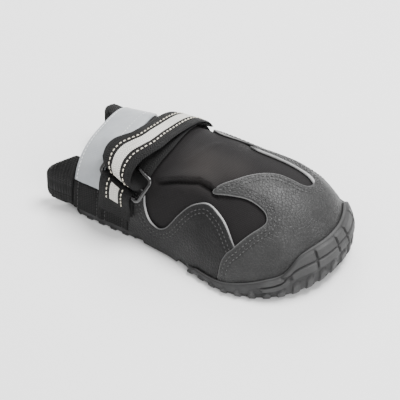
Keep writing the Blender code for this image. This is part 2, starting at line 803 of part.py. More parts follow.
def make_tab(collection):
    """Short webbing tab that is sewn low and folded round the ring's lower bar."""
    lean = -math.tan(RING_TURN)
    bar_x, bar = bar_spot(-1)
    place = bar_x - TAB_BACK
    radius = 0.5 * RING_WIRE + RING_PLAY
    out = STRAP_UNDER + WEBBING + radius
    low_end = bar - TAB_LENGTH
    path = []
    for k in range(TAB_ROWS + 1):
        share = k / TAB_ROWS
        down = low_end + (bar - low_end) * share
        turn = -TAB_SLOPE + (lean + TAB_SLOPE) * share
        path.append((place, turn, (down, STRAP_UNDER), (down, STRAP_UNDER + WEBBING)))
    for far, near in fold(bar, out, radius, 1)[1:-1]:
        path.append((place - lean * (near[0] - bar), lean, far, near))
    lay = STRAP_UNDER + WEBBING + GAP
    for k in range(TAB_ROWS + 1):
        share = k / TAB_ROWS
        down = bar + (low_end - TAB_STEP - bar) * share
        rise = (out + radius - lay) * (1.0 - ease(share / 0.7))
        turn = lean + (-TAB_SLOPE - lean) * share
        path.append((place, turn, (down, lay + rise + WEBBING), (down, lay + rise)))
    return ribbon("strap_tab", path, WEBBING_COLUMNS, collection, WEBBING_BLACK)


def ring_outline(corner_steps=4, side_steps=4):
    """The ring's middle line as (along, up) about its centre, once round."""
    half_long = 0.5 * (RING_LENGTH - RING_WIRE)
    half_high = 0.5 * (RING_HEIGHT - RING_WIRE)
    spots = []
    for k in range(4):
        side_x, side_y = (1, -1, -1, 1)[k], (1, 1, -1, -1)[k]
        for j in range(corner_steps):
            angle = math.radians(90 * k + 90 * j / (corner_steps - 1))
            spots.append((side_x * (half_long - RING_CORNER) + RING_CORNER * math.cos(angle),
                          side_y * (half_high - RING_CORNER) + RING_CORNER * math.sin(angle)))
    line = []
    for k, (x0, y0) in enumerate(spots):
        x1, y1 = spots[(k + 1) % len(spots)]
        pieces = side_steps if math.hypot(x1 - x0, y1 - y0) > 2 * RING_CORNER else 1
        line += [(x0 + (x1 - x0) * j / pieces, y0 + (y1 - y0) * j / pieces)
                 for j in range(pieces)]
    return line


def make_ring(collection):
    """Rectangular loop whose two long bars hold the strap and the tab."""
    out = STRAP_UNDER + WEBBING + RING_PLAY + 0.5 * RING_WIRE
    turn_cos, turn_sin = math.cos(RING_TURN), math.sin(RING_TURN)
    curve = bpy.data.curves.new("ring", "CURVE")
    curve.dimensions = "3D"
    curve.bevel_depth = 0.5 * RING_WIRE
    curve.bevel_resolution = 2
    line = ring_outline()
    spline = curve.splines.new("POLY")
    spline.points.add(len(line) - 1)
    for point, (along, up) in zip(spline.points, line):
        x = RING_PLACE + along * turn_cos + up * turn_sin
        down = -RING_DOWN - along * turn_sin + up * turn_cos
        point.co = (*on_wall(x, down, out), 1.0)
    spline.use_cyclic_u = True
    ring = bpy.data.objects.new("ring", curve)
    curve.materials.append(material(RING_PLASTIC))
    collection.objects.link(ring)
    return ring


def set_origin(boot, cutters):
    """Move everything so that the boot stands centred on the origin, its lowest point at 0."""
    bpy.context.view_layer.update()
    graph = bpy.context.evaluated_depsgraph_get()
    spots = []
    for item in boot.objects:
        mesh = item.evaluated_get(graph).to_mesh()
        spots += [item.matrix_world @ vert.co for vert in mesh.vertices]
    spots = np.array(spots)
    low, high = spots.min(axis=0), spots.max(axis=0)
    middle = 0.5 * (low + high)
    for item in list(boot.objects) + list(cutters.objects):
        item.location.x -= middle[0]
        item.location.y -= middle[1]
        item.location.z -= low[2]


def main():
    boot, cutters = start_scene()
    make_sole(boot, cutters)
    make_insole(boot)
    make_upper(boot)
    make_toe_cap(boot, cutters)
    make_quarter("quarter_right", -1, 1.0, boot)
    make_quarter("quarter_left", 1, LEFT_CREST, boot)
    make_heel_panel("heel_panel_right", -1, boot)
    make_heel_panel("heel_panel_left", 1, boot)
    make_band(boot)
    make_collar(boot)
    make_strap(boot)
    make_tab(boot)
    make_ring(boot)
    set_origin(boot, cutters)


main()
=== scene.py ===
"""Dog boot: the look of the boot round its CAD frame. Sizes are in millimetres unless named."""
import math

import bmesh
import bpy
import numpy as np
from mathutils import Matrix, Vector


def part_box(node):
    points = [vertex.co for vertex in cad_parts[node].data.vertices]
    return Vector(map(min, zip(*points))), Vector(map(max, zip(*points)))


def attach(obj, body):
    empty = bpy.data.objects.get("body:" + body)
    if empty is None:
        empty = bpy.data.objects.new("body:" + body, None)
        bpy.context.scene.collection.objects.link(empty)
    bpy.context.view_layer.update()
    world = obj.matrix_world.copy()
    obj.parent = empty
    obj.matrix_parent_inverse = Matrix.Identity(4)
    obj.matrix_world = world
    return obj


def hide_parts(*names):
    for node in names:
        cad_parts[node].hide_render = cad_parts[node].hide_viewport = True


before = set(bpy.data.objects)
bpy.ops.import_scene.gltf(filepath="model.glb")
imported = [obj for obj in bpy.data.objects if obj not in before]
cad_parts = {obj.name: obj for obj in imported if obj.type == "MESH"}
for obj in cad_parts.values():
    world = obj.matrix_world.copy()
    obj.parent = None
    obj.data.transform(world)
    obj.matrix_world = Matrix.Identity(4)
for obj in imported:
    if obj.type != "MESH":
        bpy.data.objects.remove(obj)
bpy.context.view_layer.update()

MM = 0.001
SAME_POINT = 2e-6
LAST_LENGTH = 138.5
BALL_HALF_WIDTH = 39.5
INSTEP_HEIGHT = 47.5
CROWN_LEAN = 5.5
TOE_CURVE = 2.0
NOSE_FROM = 0.68
NOSE_WIDTH_ROUND = 2.2
NOSE_CROWN_ROUND = 2.5
UPPER_WALL = 2.0
LEATHER = 1.2
CLOTH = 1.0
WEBBING = 1.2
WEBBING_WIDTH = 20.0
GAP = 0.35
COVER = GAP + LEATHER
SOLE_PLATE = 4.0
SOLE_REAR = 0.5
RIM_INNER = GAP + LEATHER + GAP
RIM_WALL = 1.5
HEEL_LEDGE = 1.2
WAIST_INSET = 0.2
PLATE_INSET = 1.2
BUMPER_HEIGHT = 23.5
BUMPER_BLOCK = 1.1
LUG_DEPTH = 1.0
LUG_PITCH = 7.6
GROOVE_DEPTH = 1.5
GROOVE_WIDTH = 2.2
TOE_SPRING = 6.0
ARCH_LIFT = 1.2
HEEL_CORNER = 6.0
INSOLE = 1.6
COLLAR_REACH = 16.4
COLLAR_NOTCH = 9.0
COLLAR_PAD = 5.0
COLLAR_LIFT = 0.2
COLLAR_TALL = 0.88
COLLAR_TOP_GAP = math.radians(38.0)
BAND_WIDTH = 16.7
BAND_SPREAD = 5.0
BAND_END_HEIGHT = 22.0
HEEL_PANEL_TOP = 0.62
HEEL_PANEL_RISE = 4.0
STRAP_UNDER = GAP + LEATHER + GAP
STRAP_END = 34.0
STRAP_TOP_END = 30.0
STRAP_PLACE = 37.0
FOLD_START = 33.0
FOLD_END = 26.5
FOLD_TURN = math.radians(20.0)
STRAP_LOOP = 2.6
STRAP_SLACK = 4.0
STRIPE_HALF = 0.135
STRIPE_SEAM = 0.235
RING_PLACE = 30.6
RING_DOWN = 26.0
RING_LENGTH = 29.0
RING_HEIGHT = 14.8
RING_WIRE = 2.3
RING_PLAY = 0.3
RING_CORNER = 2.2
RING_TURN = math.radians(23.0)
TAB_LENGTH = 13.5
TAB_BACK = 1.0
TAB_SLOPE = 0.2
TAB_STEP = 1.5
QUARTER_REAR = 0.250
QUARTER_FRONT = 0.728
CAP_LIFT = 0.3
CAP_SEAMS = (2.1, 4.1)
QUARTER_SEAMS = (2.9, 4.9)
HEEL_SEAMS = (3.2, 15.2, 20.0, 30.6)
HEEL_FOLDS = (17.6, 33.0)
BAND_SEAMS = (GAP + 1.6, BAND_WIDTH - 1.2)
HEEL_TREAD = (0.035, 0.095, 0.155, 0.215)
BALL_TREAD = (0.58, 0.64, 0.70, 0.76)
TREAD_ROWS = (-22.0, -7.5, 7.5, 22.0)
TREAD_ZIGZAG = 4.3
EDGE_ROUND = 0.9
SHAFT_END, BODY_BEND = 44.0, 92.0
CAP_REAR, CAP_BEND = 0.545, 112.0
QUARTER_END = 99.5
CAP_CELL, QUARTER_CELL = 0.62, 0.6
INSOLE_REAR = 0.8
INSOLE_FRONT = 1.0

# Stitches: pitch, length and thread radius.
CAP_THREAD = (2.3, 1.35, 0.30)
QUARTER_THREAD = (2.3, 1.3, 0.25)
HEEL_THREAD = (2.4, 1.6, 0.2)
BAND_THREAD = (2.2, 1.5, 0.17)
WEB_THREAD = (2.45, 1.65, 0.34)
THREAD_GRAIN = 900.0

# How far forward of its fold the strap runs, in widths, at shares of the ball's half width.
STRAP_LINE = (
    (-0.63, 0.00), (-0.51, -0.02), (-0.40, 0.07), (-0.31, 0.24), (-0.22, 0.39),
    (-0.05, 0.47), (0.18, 0.53), (0.58, 0.62),
)
# The last: place, half width, crown, lean, curve, near and far squareness.
SECTIONS = (
    (0.000, 0.735, 0.780, 0.00, 0.00, 3.10, 3.10),
    (0.135, 0.750, 0.865, 0.00, 0.00, 2.90, 3.10),
    (0.280, 0.765, 0.950, 0.08, 0.00, 2.50, 2.90),
    (0.430, 0.825, 0.985, 0.30, 0.00, 2.30, 2.50),
    (0.560, 0.912, 0.960, 0.60, 0.00, 2.20, 2.15),
    (0.685, 0.992, 0.910, 0.85, 0.00, 2.20, 2.05),
    (0.780, 0.980, 0.875, 0.80, 0.30, 2.20, 2.05),
    (0.880, 0.965, 0.850, 0.65, 0.70, 2.20, 2.10),
    (1.000, 0.955, 0.830, 0.50, 1.00, 2.20, 2.20),
)
# Height of the rubber's top edge along the boot, as a share of the bumper's.
RIM_EDGE = (
    (0.50, 0.225), (0.64, 0.228), (0.76, 0.360), (0.84, 0.510), (0.890, 0.630),
    (0.908, 0.780), (0.922, 0.960), (0.950, 1.060), (1.00, 1.080),
)
# Height of each quarter's top edge along the boot, as a share of the instep's.
QUARTER_EDGE = (
    (0.246, 0.640), (0.282, 0.655), (0.299, 0.620), (0.310, 0.510), (0.332, 0.385),
    (0.360, 0.325), (0.388, 0.318), (0.418, 0.385), (0.455, 0.565), (0.488, 0.690),
    (0.526, 0.755), (0.560, 0.770), (0.610, 0.725), (0.652, 0.660), (0.698, 0.540),
    (0.730, 0.430),
)
FAR_EDGE = QUARTER_EDGE[:2] + (
    (0.298, 0.620), (0.307, 0.530), (0.318, 0.460), (0.332, 0.450), (0.347, 0.540),
    (0.362, 0.700), (0.381, 0.835), (0.406, 0.905), (0.440, 0.925), (0.485, 0.900),
    (0.560, 0.815), (0.610, 0.745),
) + QUARTER_EDGE[-3:]
# The cap's rear edge from above: place, and width as a share of the ball's half width.
CAP_EDGE = (
    (0.668, -1.40), (0.668, -1.00), (0.680, -0.90), (0.704, -0.83), (0.744, -0.66),
    (0.774, -0.52), (0.777, -0.44), (0.752, -0.37), (0.685, -0.345), (0.617, -0.40),
    (0.556, -0.46), (0.563, -0.36), (0.604, -0.20), (0.642, -0.03), (0.682, 0.11),
    (0.724, 0.20), (0.768, 0.235), (0.808, 0.26), (0.829, 0.33), (0.828, 0.44),
    (0.800, 0.515), (0.752, 0.535), (0.665, 0.52), (0.588, 0.485), (0.556, 0.50),
    (0.617, 0.64), (0.714, 0.74), (0.771, 0.79), (0.777, 0.86), (0.747, 0.94),
    (0.704, 1.00), (0.680, 1.05), (0.668, 1.10), (0.668, 1.40),
)
# The gusset fold: place, and distance from the crown.
FOLD_PATH = np.array([
    (47.0, -25.0), (52.6, -22.9), (57.5, -21.2), (62.8, -19.9), (67.6, -18.4),
    (73.9, -19.4), (77.8, -21.0), (80.5, -22.5),
])
# How far the sole's side stands in at shares of its height.
INSETS = (
    (0.0, 2.6), (0.05, 1.9), (0.34, 1.0), (0.42, 0.4), (0.50, 0.2), (0.72, 0.1),
    (0.92, 0.2), (0.97, 0.35), (1.0, 0.85),
)
# Shares of height of the rings that make the sole's side, and the inside of its rim.
SIDE_RINGS = np.concatenate([
    [0.0, 0.025, 0.05], np.linspace(0.10, 0.66, 17), [0.675, 0.69, 0.71, 0.725],
    np.linspace(0.76, 0.92, 6), [0.935, 0.947, 0.96, 0.975, 0.99, 1.0]])
RIM_RINGS = (1.0, 0.85, 0.72, 0.56, 0.40, 0.2, 0.0)
# A stitch along itself: place in lengths, lift and thickness in radii.
STITCH = (
    (-0.5, -1.1, 0.45), (-0.42, -0.2, 0.8), (-0.2, 0.45, 1.0),
    (0.2, 0.45, 1.0), (0.42, -0.2, 0.8), (0.5, -1.1, 0.45),
)

# Light and camera, in metres, watts and degrees.
LAMPS = (
    ("key", (0.25, 0.30, 1.1), 0.6, 27.0),
    ("fill", (0.9, -0.5, 0.6), 0.7, 7.0),
    ("rim", (-0.5, 0.7, 0.7), 0.5, 7.0),
)
LAMP_AIM = Vector((0.0, 0.0, 0.02))
SKY_STRENGTH = 0.95
FLOOR_REACH = 3.0
FLOOR_DROP = 0.0002
CAMERA_AZIMUTH = math.radians(31.0)
CAMERA_ELEVATION = math.radians(43.0)
CAMERA_FIELD = 0.204
CAMERA_LENS = 280.0
CAMERA_SENSOR = 36.0
CAMERA_AIM = Vector((0.0005, -0.00735, 0.020))

SHIFT = np.array([
    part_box("upper")[0][0], 0.5 * (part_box("collar")[0][1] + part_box("collar")[1][1]), 0.0,
])


def ease(value):
    value = np.clip(value, 0.0, 1.0)
    return value * value * (3.0 - 2.0 * value)


def window(value, start, rise, end, fall):
    """1 from start + rise to end, and 0 before start and after end + fall."""
    return ease((value - start) / rise) * (1.0 - ease((value - end) / fall))


def bell(off, wide):
    return np.exp(-(off / wide) ** 2)


def rounded(border):
    """How far a cut edge is rounded off: 1 at the edge, 0 past its rounding."""
    return (1.0 - ease(border / EDGE_ROUND)) ** 2


def closing(count):
    """Steps from 0 to 1 that grow short towards 1."""
    return np.sin(0.5 * math.pi * np.linspace(0.0, 1.0, count))


def unit(vectors):
    return vectors / (np.linalg.norm(vectors, axis=-1, keepdims=True) + 1e-12)


def run_along(points):
    """Length along a line at each of its points."""
    steps = np.linalg.norm(np.diff(points, axis=0), axis=1)
    return np.concatenate([[0.0], np.cumsum(steps)])


def through(table, column, place):
    """A smooth curve through one column of a table whose first column is the place."""
    table = np.array(table, float)
    places, values = table[:, 0], table[:, column]
    last = len(places) - 1
    order = np.arange(last + 1)
    before, after = np.maximum(order - 1, 0), np.minimum(order + 1, last)
    slope = (values[after] - values[before]) / (places[after] - places[before])
    x = np.clip(place, places[0], places[-1])
    i = np.clip(np.searchsorted(places, x, side="right") - 1, 0, last - 1)
    step = places[i + 1] - places[i]
    u = (x - places[i]) / step
    start, end, rise = slope[i] * step, slope[i + 1] * step, values[i + 1] - values[i]
    bend = 3 * rise - 2 * start - end + u * (start + end - 2 * rise)
    return values[i] + u * (start + u * bend)


class Section:
    """The last's cross sections at places x, grown outwards by some depth."""

    def __init__(self, x, grow):
        share = x / LAST_LENGTH
        half, crown, lean, curve, near, far = (through(SECTIONS, k, share) for k in range(1, 7))
        self.lean = CROWN_LEAN * lean
        self.curve = TOE_CURVE * curve
        self.square = {-1: near, 1: far}
        start = NOSE_FROM * LAST_LENGTH
        reach = np.clip((x - start) / (LAST_LENGTH + grow - start), 0.0, 1.0)
        wide = (1.0 - reach ** NOSE_WIDTH_ROUND) ** (1.0 / NOSE_WIDTH_ROUND)
        high = (1.0 - reach ** NOSE_CROWN_ROUND) ** (1.0 / NOSE_CROWN_ROUND)
        self.half = (BALL_HALF_WIDTH * half + grow) * wide
        self.crown = (INSTEP_HEIGHT * crown + grow) * high

    def across(self, z, side):
        share = np.clip(z / np.maximum(self.crown, 1e-6), 0.0, 1.0)
        power = self.square[side]
        wide = self.half * (1.0 - share ** power) ** (1.0 / power)
        return self.curve + side * wide + self.lean * share


MID = 150


def last_table():
    """Points, outward directions and side lengths of the bare last on a fine grid."""
    bend = NOSE_FROM * LAST_LENGTH
    nose = bend + (LAST_LENGTH - 0.02 - bend) * closing(121)
    places = np.concatenate([np.linspace(0.0, bend, 95)[:-1], nose])
    section = Section(places, 0.0)
    angle = 0.5 * math.pi * ease(np.linspace(0.0, 1.0, 500))
    rows, lengths = [], []
    for i, x in enumerate(places):
        sides = []
        for side in (-1, 1):
            power = 2.0 / section.square[side][i]
            y = section.half[i] * np.abs(np.cos(angle)) ** power
            z = section.crown[i] * np.abs(np.sin(angle)) ** power
            z[-1] = section.crown[i]
            y[-1] = 0.0
            lean = section.lean[i] * z / section.crown[i]
            line = np.stack([section.curve[i] + side * y + lean, z], axis=1)
            run = run_along(line)
            wanted = np.linspace(0.0, run[-1], MID + 1)
            sides.append(np.stack([np.interp(wanted, run, line[:, k]) for k in (0, 1)], axis=1))
            lengths.append(run[-1])
        arch = np.vstack([sides[0], sides[1][::-1][1:]])
        rows.append(np.column_stack([np.full(len(arch), x), arch]))
    points = np.array(rows)
    normal = unit(np.cross(np.gradient(points, axis=0), np.gradient(points, axis=1)))
    return places, points, normal, np.array(lengths).reshape(-1, 2)


ROW_X, ROW_P, ROW_N, ROW_RUN = last_table()


def wall(x, s, out=0.0):
    """Points and outward directions at places x, s along the arch from its crown."""
    x, s, out = np.broadcast_arrays(*(np.asarray(value, float) for value in (x, s, out)))
    i = np.interp(x, ROW_X, np.arange(len(ROW_X)))
    right, left = (np.interp(x, ROW_X, ROW_RUN[:, k]) for k in (0, 1))
    j = np.clip(MID + MID * np.where(s < 0.0, s / right, s / left), 0.0, 2.0 * MID)
    i0 = np.clip(np.floor(i).astype(int), 0, len(ROW_X) - 2)
    j0 = np.clip(np.floor(j).astype(int), 0, 2 * MID - 1)
    u, v = (i - i0)[..., None], (j - j0)[..., None]
    spots = []
    for table in (ROW_P, ROW_N):
        rear = table[i0, j0] * (1 - v) + table[i0, j0 + 1] * v
        front = table[i0 + 1, j0] * (1 - v) + table[i0 + 1, j0 + 1] * v
        spots.append(rear * (1 - u) + front * u)
    normal = unit(spots[1])
    return spots[0] + normal * out[..., None], normal


def along(x, side, value, out, column=2):
    """Distance from the crown where the wall at depth out reaches a height, or a width."""
    x = np.atleast_1d(np.asarray(x, float))
    value = np.broadcast_to(np.asarray(value, float), x.shape)
    found = np.empty(len(x))
    fractions = np.linspace(0.0, 1.0, 161)
    runs = np.interp(x, ROW_X, ROW_RUN[:, 0 if side < 0 else 1])
    sign = -1.0 if column == 2 else side
    for k, place in enumerate(x):
        s = side * fractions * runs[k] * 0.99999
        key = sign * wall(place, s, out)[0][:, column]
        found[k] = np.interp(sign * value[k], np.maximum.accumulate(key), s)
    return found


def both_sides(x, value, out):
    return [along(x, side, value, out) for side in (-1, 1)]


def sole_bottom(x):
    share = x / LAST_LENGTH
    spring = np.maximum(0.0, (share - 0.80) / 0.20) ** 2
    return ARCH_LIFT * window(share, 0.25, 0.10, 0.43, 0.10) + TOE_SPRING * spring


def plate_top(x):
    return sole_bottom(x) + SOLE_PLATE


def upper_foot(x):
    return plate_top(x) + GAP


def rim_top(x):
    return BUMPER_HEIGHT * through(RIM_EDGE, 1, x / LAST_LENGTH)


def waist_share(x):
    return window(x / LAST_LENGTH, 0.245, 0.05, 0.505, 0.07)


def quarter_foot(x):
    over = window(x / LAST_LENGTH, 0.305, 0.02, 0.475, 0.02)
    return upper_foot(x) * (1.0 - over) + (sole_bottom(x) + 0.3) * over


def nose_place(level, grow):
    """Place where the grown last's crown comes down to a level."""
    low, high = NOSE_FROM * LAST_LENGTH, LAST_LENGTH + grow
    for _ in range(50):
        middle = 0.5 * (low + high)
        if Section(middle, grow).crown > level(middle):
            low = middle
        else:
            high = middle
    return low


WALL_END = nose_place(lambda x: upper_foot(x) + 0.4, 0.0)


def waves(x, s, pitch, seed):
    """Smooth repeatable unevenness, about -1 to 1."""
    random = np.random.default_rng(seed)
    total = np.zeros(np.broadcast(x, s).shape)
    for _ in range(7):
        turn = random.uniform(0.0, math.tau)
        length = pitch * random.uniform(0.7, 1.6)
        phase = random.uniform(0.0, math.tau)
        total += np.sin((x * math.cos(turn) + s * math.sin(turn)) * math.tau / length + phase)
    return total / 3.5


def add_object(name, data):
    item = bpy.data.objects.new(name, data)
    bpy.context.scene.collection.objects.link(item)
    return item


def mesh_object(label, points, faces, finish, place=None, edge=None, sharp=None):
    """A piece from points and faces; label is its name, its slot, which is not used, and any node
    it replaces.
    """
    name, slot, *nodes = label
    mesh = bpy.data.meshes.new(name)
    mesh.from_pydata((np.asarray(points) * MM + SHIFT).tolist(), [], faces)
    if place is not None:
        rows = np.zeros((len(points), 3), np.float32)
        rows[:, :2] = np.asarray(place) * MM
        layer = mesh.attributes.new("place", "FLOAT_VECTOR", "POINT")
        layer.data.foreach_set("vector", rows.ravel())
    if edge is not None:
        layer = mesh.attributes.new("edge", "FLOAT", "POINT")
        layer.data.foreach_set("value", np.asarray(edge, np.float32).ravel())
    build = bmesh.new()
    build.from_mesh(mesh)
    bmesh.ops.remove_doubles(build, verts=build.verts, dist=SAME_POINT)
    bmesh.ops.recalc_face_normals(build, faces=build.faces)
    build.to_mesh(mesh)
    build.free()
    mesh.shade_smooth()
    if sharp:
        mesh.set_sharp_from_angle(angle=math.radians(sharp))
    mesh.materials.append(finish)
    item = add_object(name, mesh)
    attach(item, "root")
    if nodes:
        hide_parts(*nodes)
    return item


def cell_faces(index, keep=None):
    """Corners of the cells of a grid of point numbers."""
    corners = np.stack([index[:-1, :-1], index[1:, :-1], index[1:, 1:], index[:-1, 1:]], axis=-1)
    return corners.reshape(-1, 4) if keep is None else corners[keep]


def solid(label, outer, inner, finish, place, edge=None, keep=None, sharp=50.0):
    """A closed wall between two grids of points, over the cells that are kept."""
    rows, columns = outer.shape[:2]
    count = rows * columns
    quads = cell_faces(np.arange(count).reshape(rows, columns), keep)
    edges = np.concatenate([quads[:, [k, (k + 1) % 4]] for k in range(4)])
    key = np.sort(edges, axis=1)
    _, first, times = np.unique(key, axis=0, return_index=True, return_counts=True)
    rim = edges[first[times == 1]]
    walls = np.stack([rim[:, 1], rim[:, 0], rim[:, 0] + count, rim[:, 1] + count], axis=1)
    faces = np.concatenate([quads, quads[:, ::-1] + count, walls])
    used, faces = np.unique(faces, return_inverse=True)
    points = np.concatenate([outer.reshape(-1, 3), inner.reshape(-1, 3)])[used]
    values = [value if value is None else np.tile(np.reshape(value, (count, -1)), (2, 1))[used]
              for value in (place, edge)]
    return mesh_object(label, points, faces.reshape(-1, 4).tolist(), finish, *values, sharp)


def spread(x, start, end, count):
    """Grid of places x and of distances that run evenly from start to end."""
    start, end = start + 0.0 * x, end + 0.0 * x
    s = start[:, None] + (end - start)[:, None] * np.linspace(0.0, 1.0, count)
    return np.repeat(x[:, None], count, axis=1), s


def cover(label, x, s, out, low, finish, edge=None, keep=None):
    """A piece of the wall between two depths."""
    place = np.stack([x, s], axis=-1)
    return solid(label, wall(x, s, out)[0], wall(x, s, low)[0], finish, place, edge, keep)


def loop_faces(rows, columns, base=0, closed=False, caps=True):
    """Faces between loops of points that follow each other, with both ends filled."""
    faces = []
    for r in range(rows if closed else rows - 1):
        a, b = base + r * columns, base + (r + 1) % rows * columns
        for j in range(columns):
            n = (j + 1) % columns
            faces.append([a + j, a + n, b + n, b + j])
    if caps and not closed:
        for a in (base, base + (rows - 1) * columns):
            faces.append(list(range(a, a + columns)))
    return faces


def loop(centre, radius, side, up, sides):
    angle = np.arange(sides)[:, None] * math.tau / sides
    return centre + radius * (np.cos(angle) * side + np.sin(angle) * up)


def tube(label, lines, finish, sides=8):
    """Closed tubes along lines of (points, outward directions, radii, edge values, closed)."""
    points, faces, place, edge = [], [], [], []
    for spots, normal, radius, bright, closed in lines:
        count = len(spots)
        radius = np.broadcast_to(radius, count)
        edge.append(np.repeat(np.broadcast_to(bright, count), sides))
        ahead = np.gradient(spots, axis=0)
        if closed:
            ahead = np.roll(spots, -1, axis=0) - np.roll(spots, 1, axis=0)
        ahead = unit(ahead)
        side = unit(np.cross(ahead, normal))
        up = np.cross(side, ahead)
        run = run_along(spots)
        faces += loop_faces(count, sides, len(points) * sides, closed)
        for k in range(count):
            points.append(loop(spots[k], radius[k], side[k], up[k], sides))
            angle = np.arange(sides) * math.tau / sides
            place.append(np.stack([np.full(sides, run[k]), angle], axis=1))
    return mesh_object(label, np.concatenate(points), faces, finish, np.concatenate(place),
                       np.concatenate(edge))


def resample(points, step, *others):
    """Evenly spaced points along a line, with what goes with them."""
    run = run_along(points)
    wanted = np.linspace(0.0, run[-1], max(2, int(round(run[-1] / step)) + 1))
    return [np.stack([np.interp(wanted, run, column) for column in np.transpose(rows)], axis=1)
            for rows in (points, *others)]


def stitches(label, lines, finish, pitch, length, radius, sides=6):
    """Short threads along lines of (points, outward directions)."""
    points, faces = [], []
    for spots, normal in lines:
        spots, normal = resample(spots, pitch, normal)
        ahead, normal = unit(np.gradient(spots, axis=0)), unit(normal)
        side = np.cross(ahead, normal)
        for k in range(len(spots)):
            faces += loop_faces(len(STITCH), sides, len(points) * sides)
            for share, lift, wide in STITCH:
                centre = spots[k] + ahead[k] * share * length + normal[k] * lift * radius
                points.append(loop(centre, radius * wide, side[k], normal[k], sides))
    return mesh_object(label, np.concatenate(points), faces, finish)


def smooth_line(points, steps=8):
    points = np.asarray(points, float)
    padded = np.vstack([2 * points[0] - points[1], points, 2 * points[-1] - points[-2]])
    line = []
    for i in range(1, len(padded) - 2):
        a, b, c, d = padded[i - 1:i + 3]
        for u in np.arange(steps) / steps:
            square, cube = 2 * a - 5 * b + 4 * c - d, 3 * b - a - 3 * c + d
            line.append(0.5 * (2 * b + (c - a) * u + square * u ** 2 + cube * u ** 3))
    line.append(points[-1])
    return np.array(line)


def distance(px, py, line, closed=False):
    """Distance to a line and the nearest point on it."""
    best = np.full(px.shape, 1e12)
    near_x, near_y = np.zeros(px.shape), np.zeros(px.shape)
    ends = np.roll(line, -1, axis=0) if closed else line[1:]
    for (x0, y0), (x1, y1) in zip(line, ends):
        dx, dy = x1 - x0, y1 - y0
        t = np.clip(((px - x0) * dx + (py - y0) * dy) / (dx * dx + dy * dy + 1e-12), 0.0, 1.0)
        qx, qy = x0 + t * dx, y0 + t * dy
        d = (px - qx) ** 2 + (py - qy) ** 2
        closer = d < best
        best = np.where(closer, d, best)
        near_x, near_y = np.where(closer, qx, near_x), np.where(closer, qy, near_y)
    return np.sqrt(best), near_x, near_y


def inside(px, py, line):
    result = np.zeros(px.shape, bool)
    for (x0, y0), (x1, y1) in zip(line, np.roll(line, -1, axis=0)):
        crosses = (y0 > py) != (y1 > py)
        result ^= crosses & (px < (x1 - x0) * (py - y0) / (y1 - y0 + 1e-12) + x0)
    return result


def trim(x, s, outlines, cell):
    """Snap a grid's points to outlines of (line, inward sign, offset) and pick its cells."""
    x, s = x.copy(), s.copy()
    depth = np.full(x.shape, 1e9)
    snap_x, snap_s = x.copy(), s.copy()
    for line, sign, offset in outlines:
        far, qx, qy = distance(x, s, line, True)
        signed = np.where(inside(x, s, line), far, -far) * sign - offset
        reach = np.maximum(far, 1e-9)
        closer = signed < depth
        depth = np.where(closer, signed, depth)
        snap_x = np.where(closer, qx + (x - qx) / reach * offset, snap_x)
        snap_s = np.where(closer, qy + (s - qy) / reach * offset, snap_s)
    near = np.abs(depth) < 0.71 * cell
    x[near], s[near] = snap_x[near], snap_s[near]
    depth = np.where(near, 0.0, depth)
    cells = np.stack([depth[:-1, :-1], depth[1:, :-1], depth[1:, 1:], depth[:-1, 1:]])
    return x, s, (cells >= 0.0).all(axis=0) & (cells > 0.0).any(axis=0)


def stretches(line, good):
    """The stretches of a line, over 3 points long, whose points are all good."""
    parts = np.split(np.arange(len(line)), np.flatnonzero(np.diff(good)) + 1)
    return [line[part] for part in parts if len(part) > 3 and good[part[0]]]


def offset_line(line, depth, region, spare):
    """Stretches of a line moved into a region by a depth, where they stay clear of its edge."""
    ahead = unit(np.gradient(line, axis=0))
    step = depth * np.stack([ahead[:, 1], -ahead[:, 0]], axis=1)
    moved = line + step
    if inside(*moved.T, region).mean() <= 0.5:
        moved = line - step
    clear = distance(*moved.T, line)[0] > spare * depth
    return stretches(moved, clear & inside(*moved.T, region))


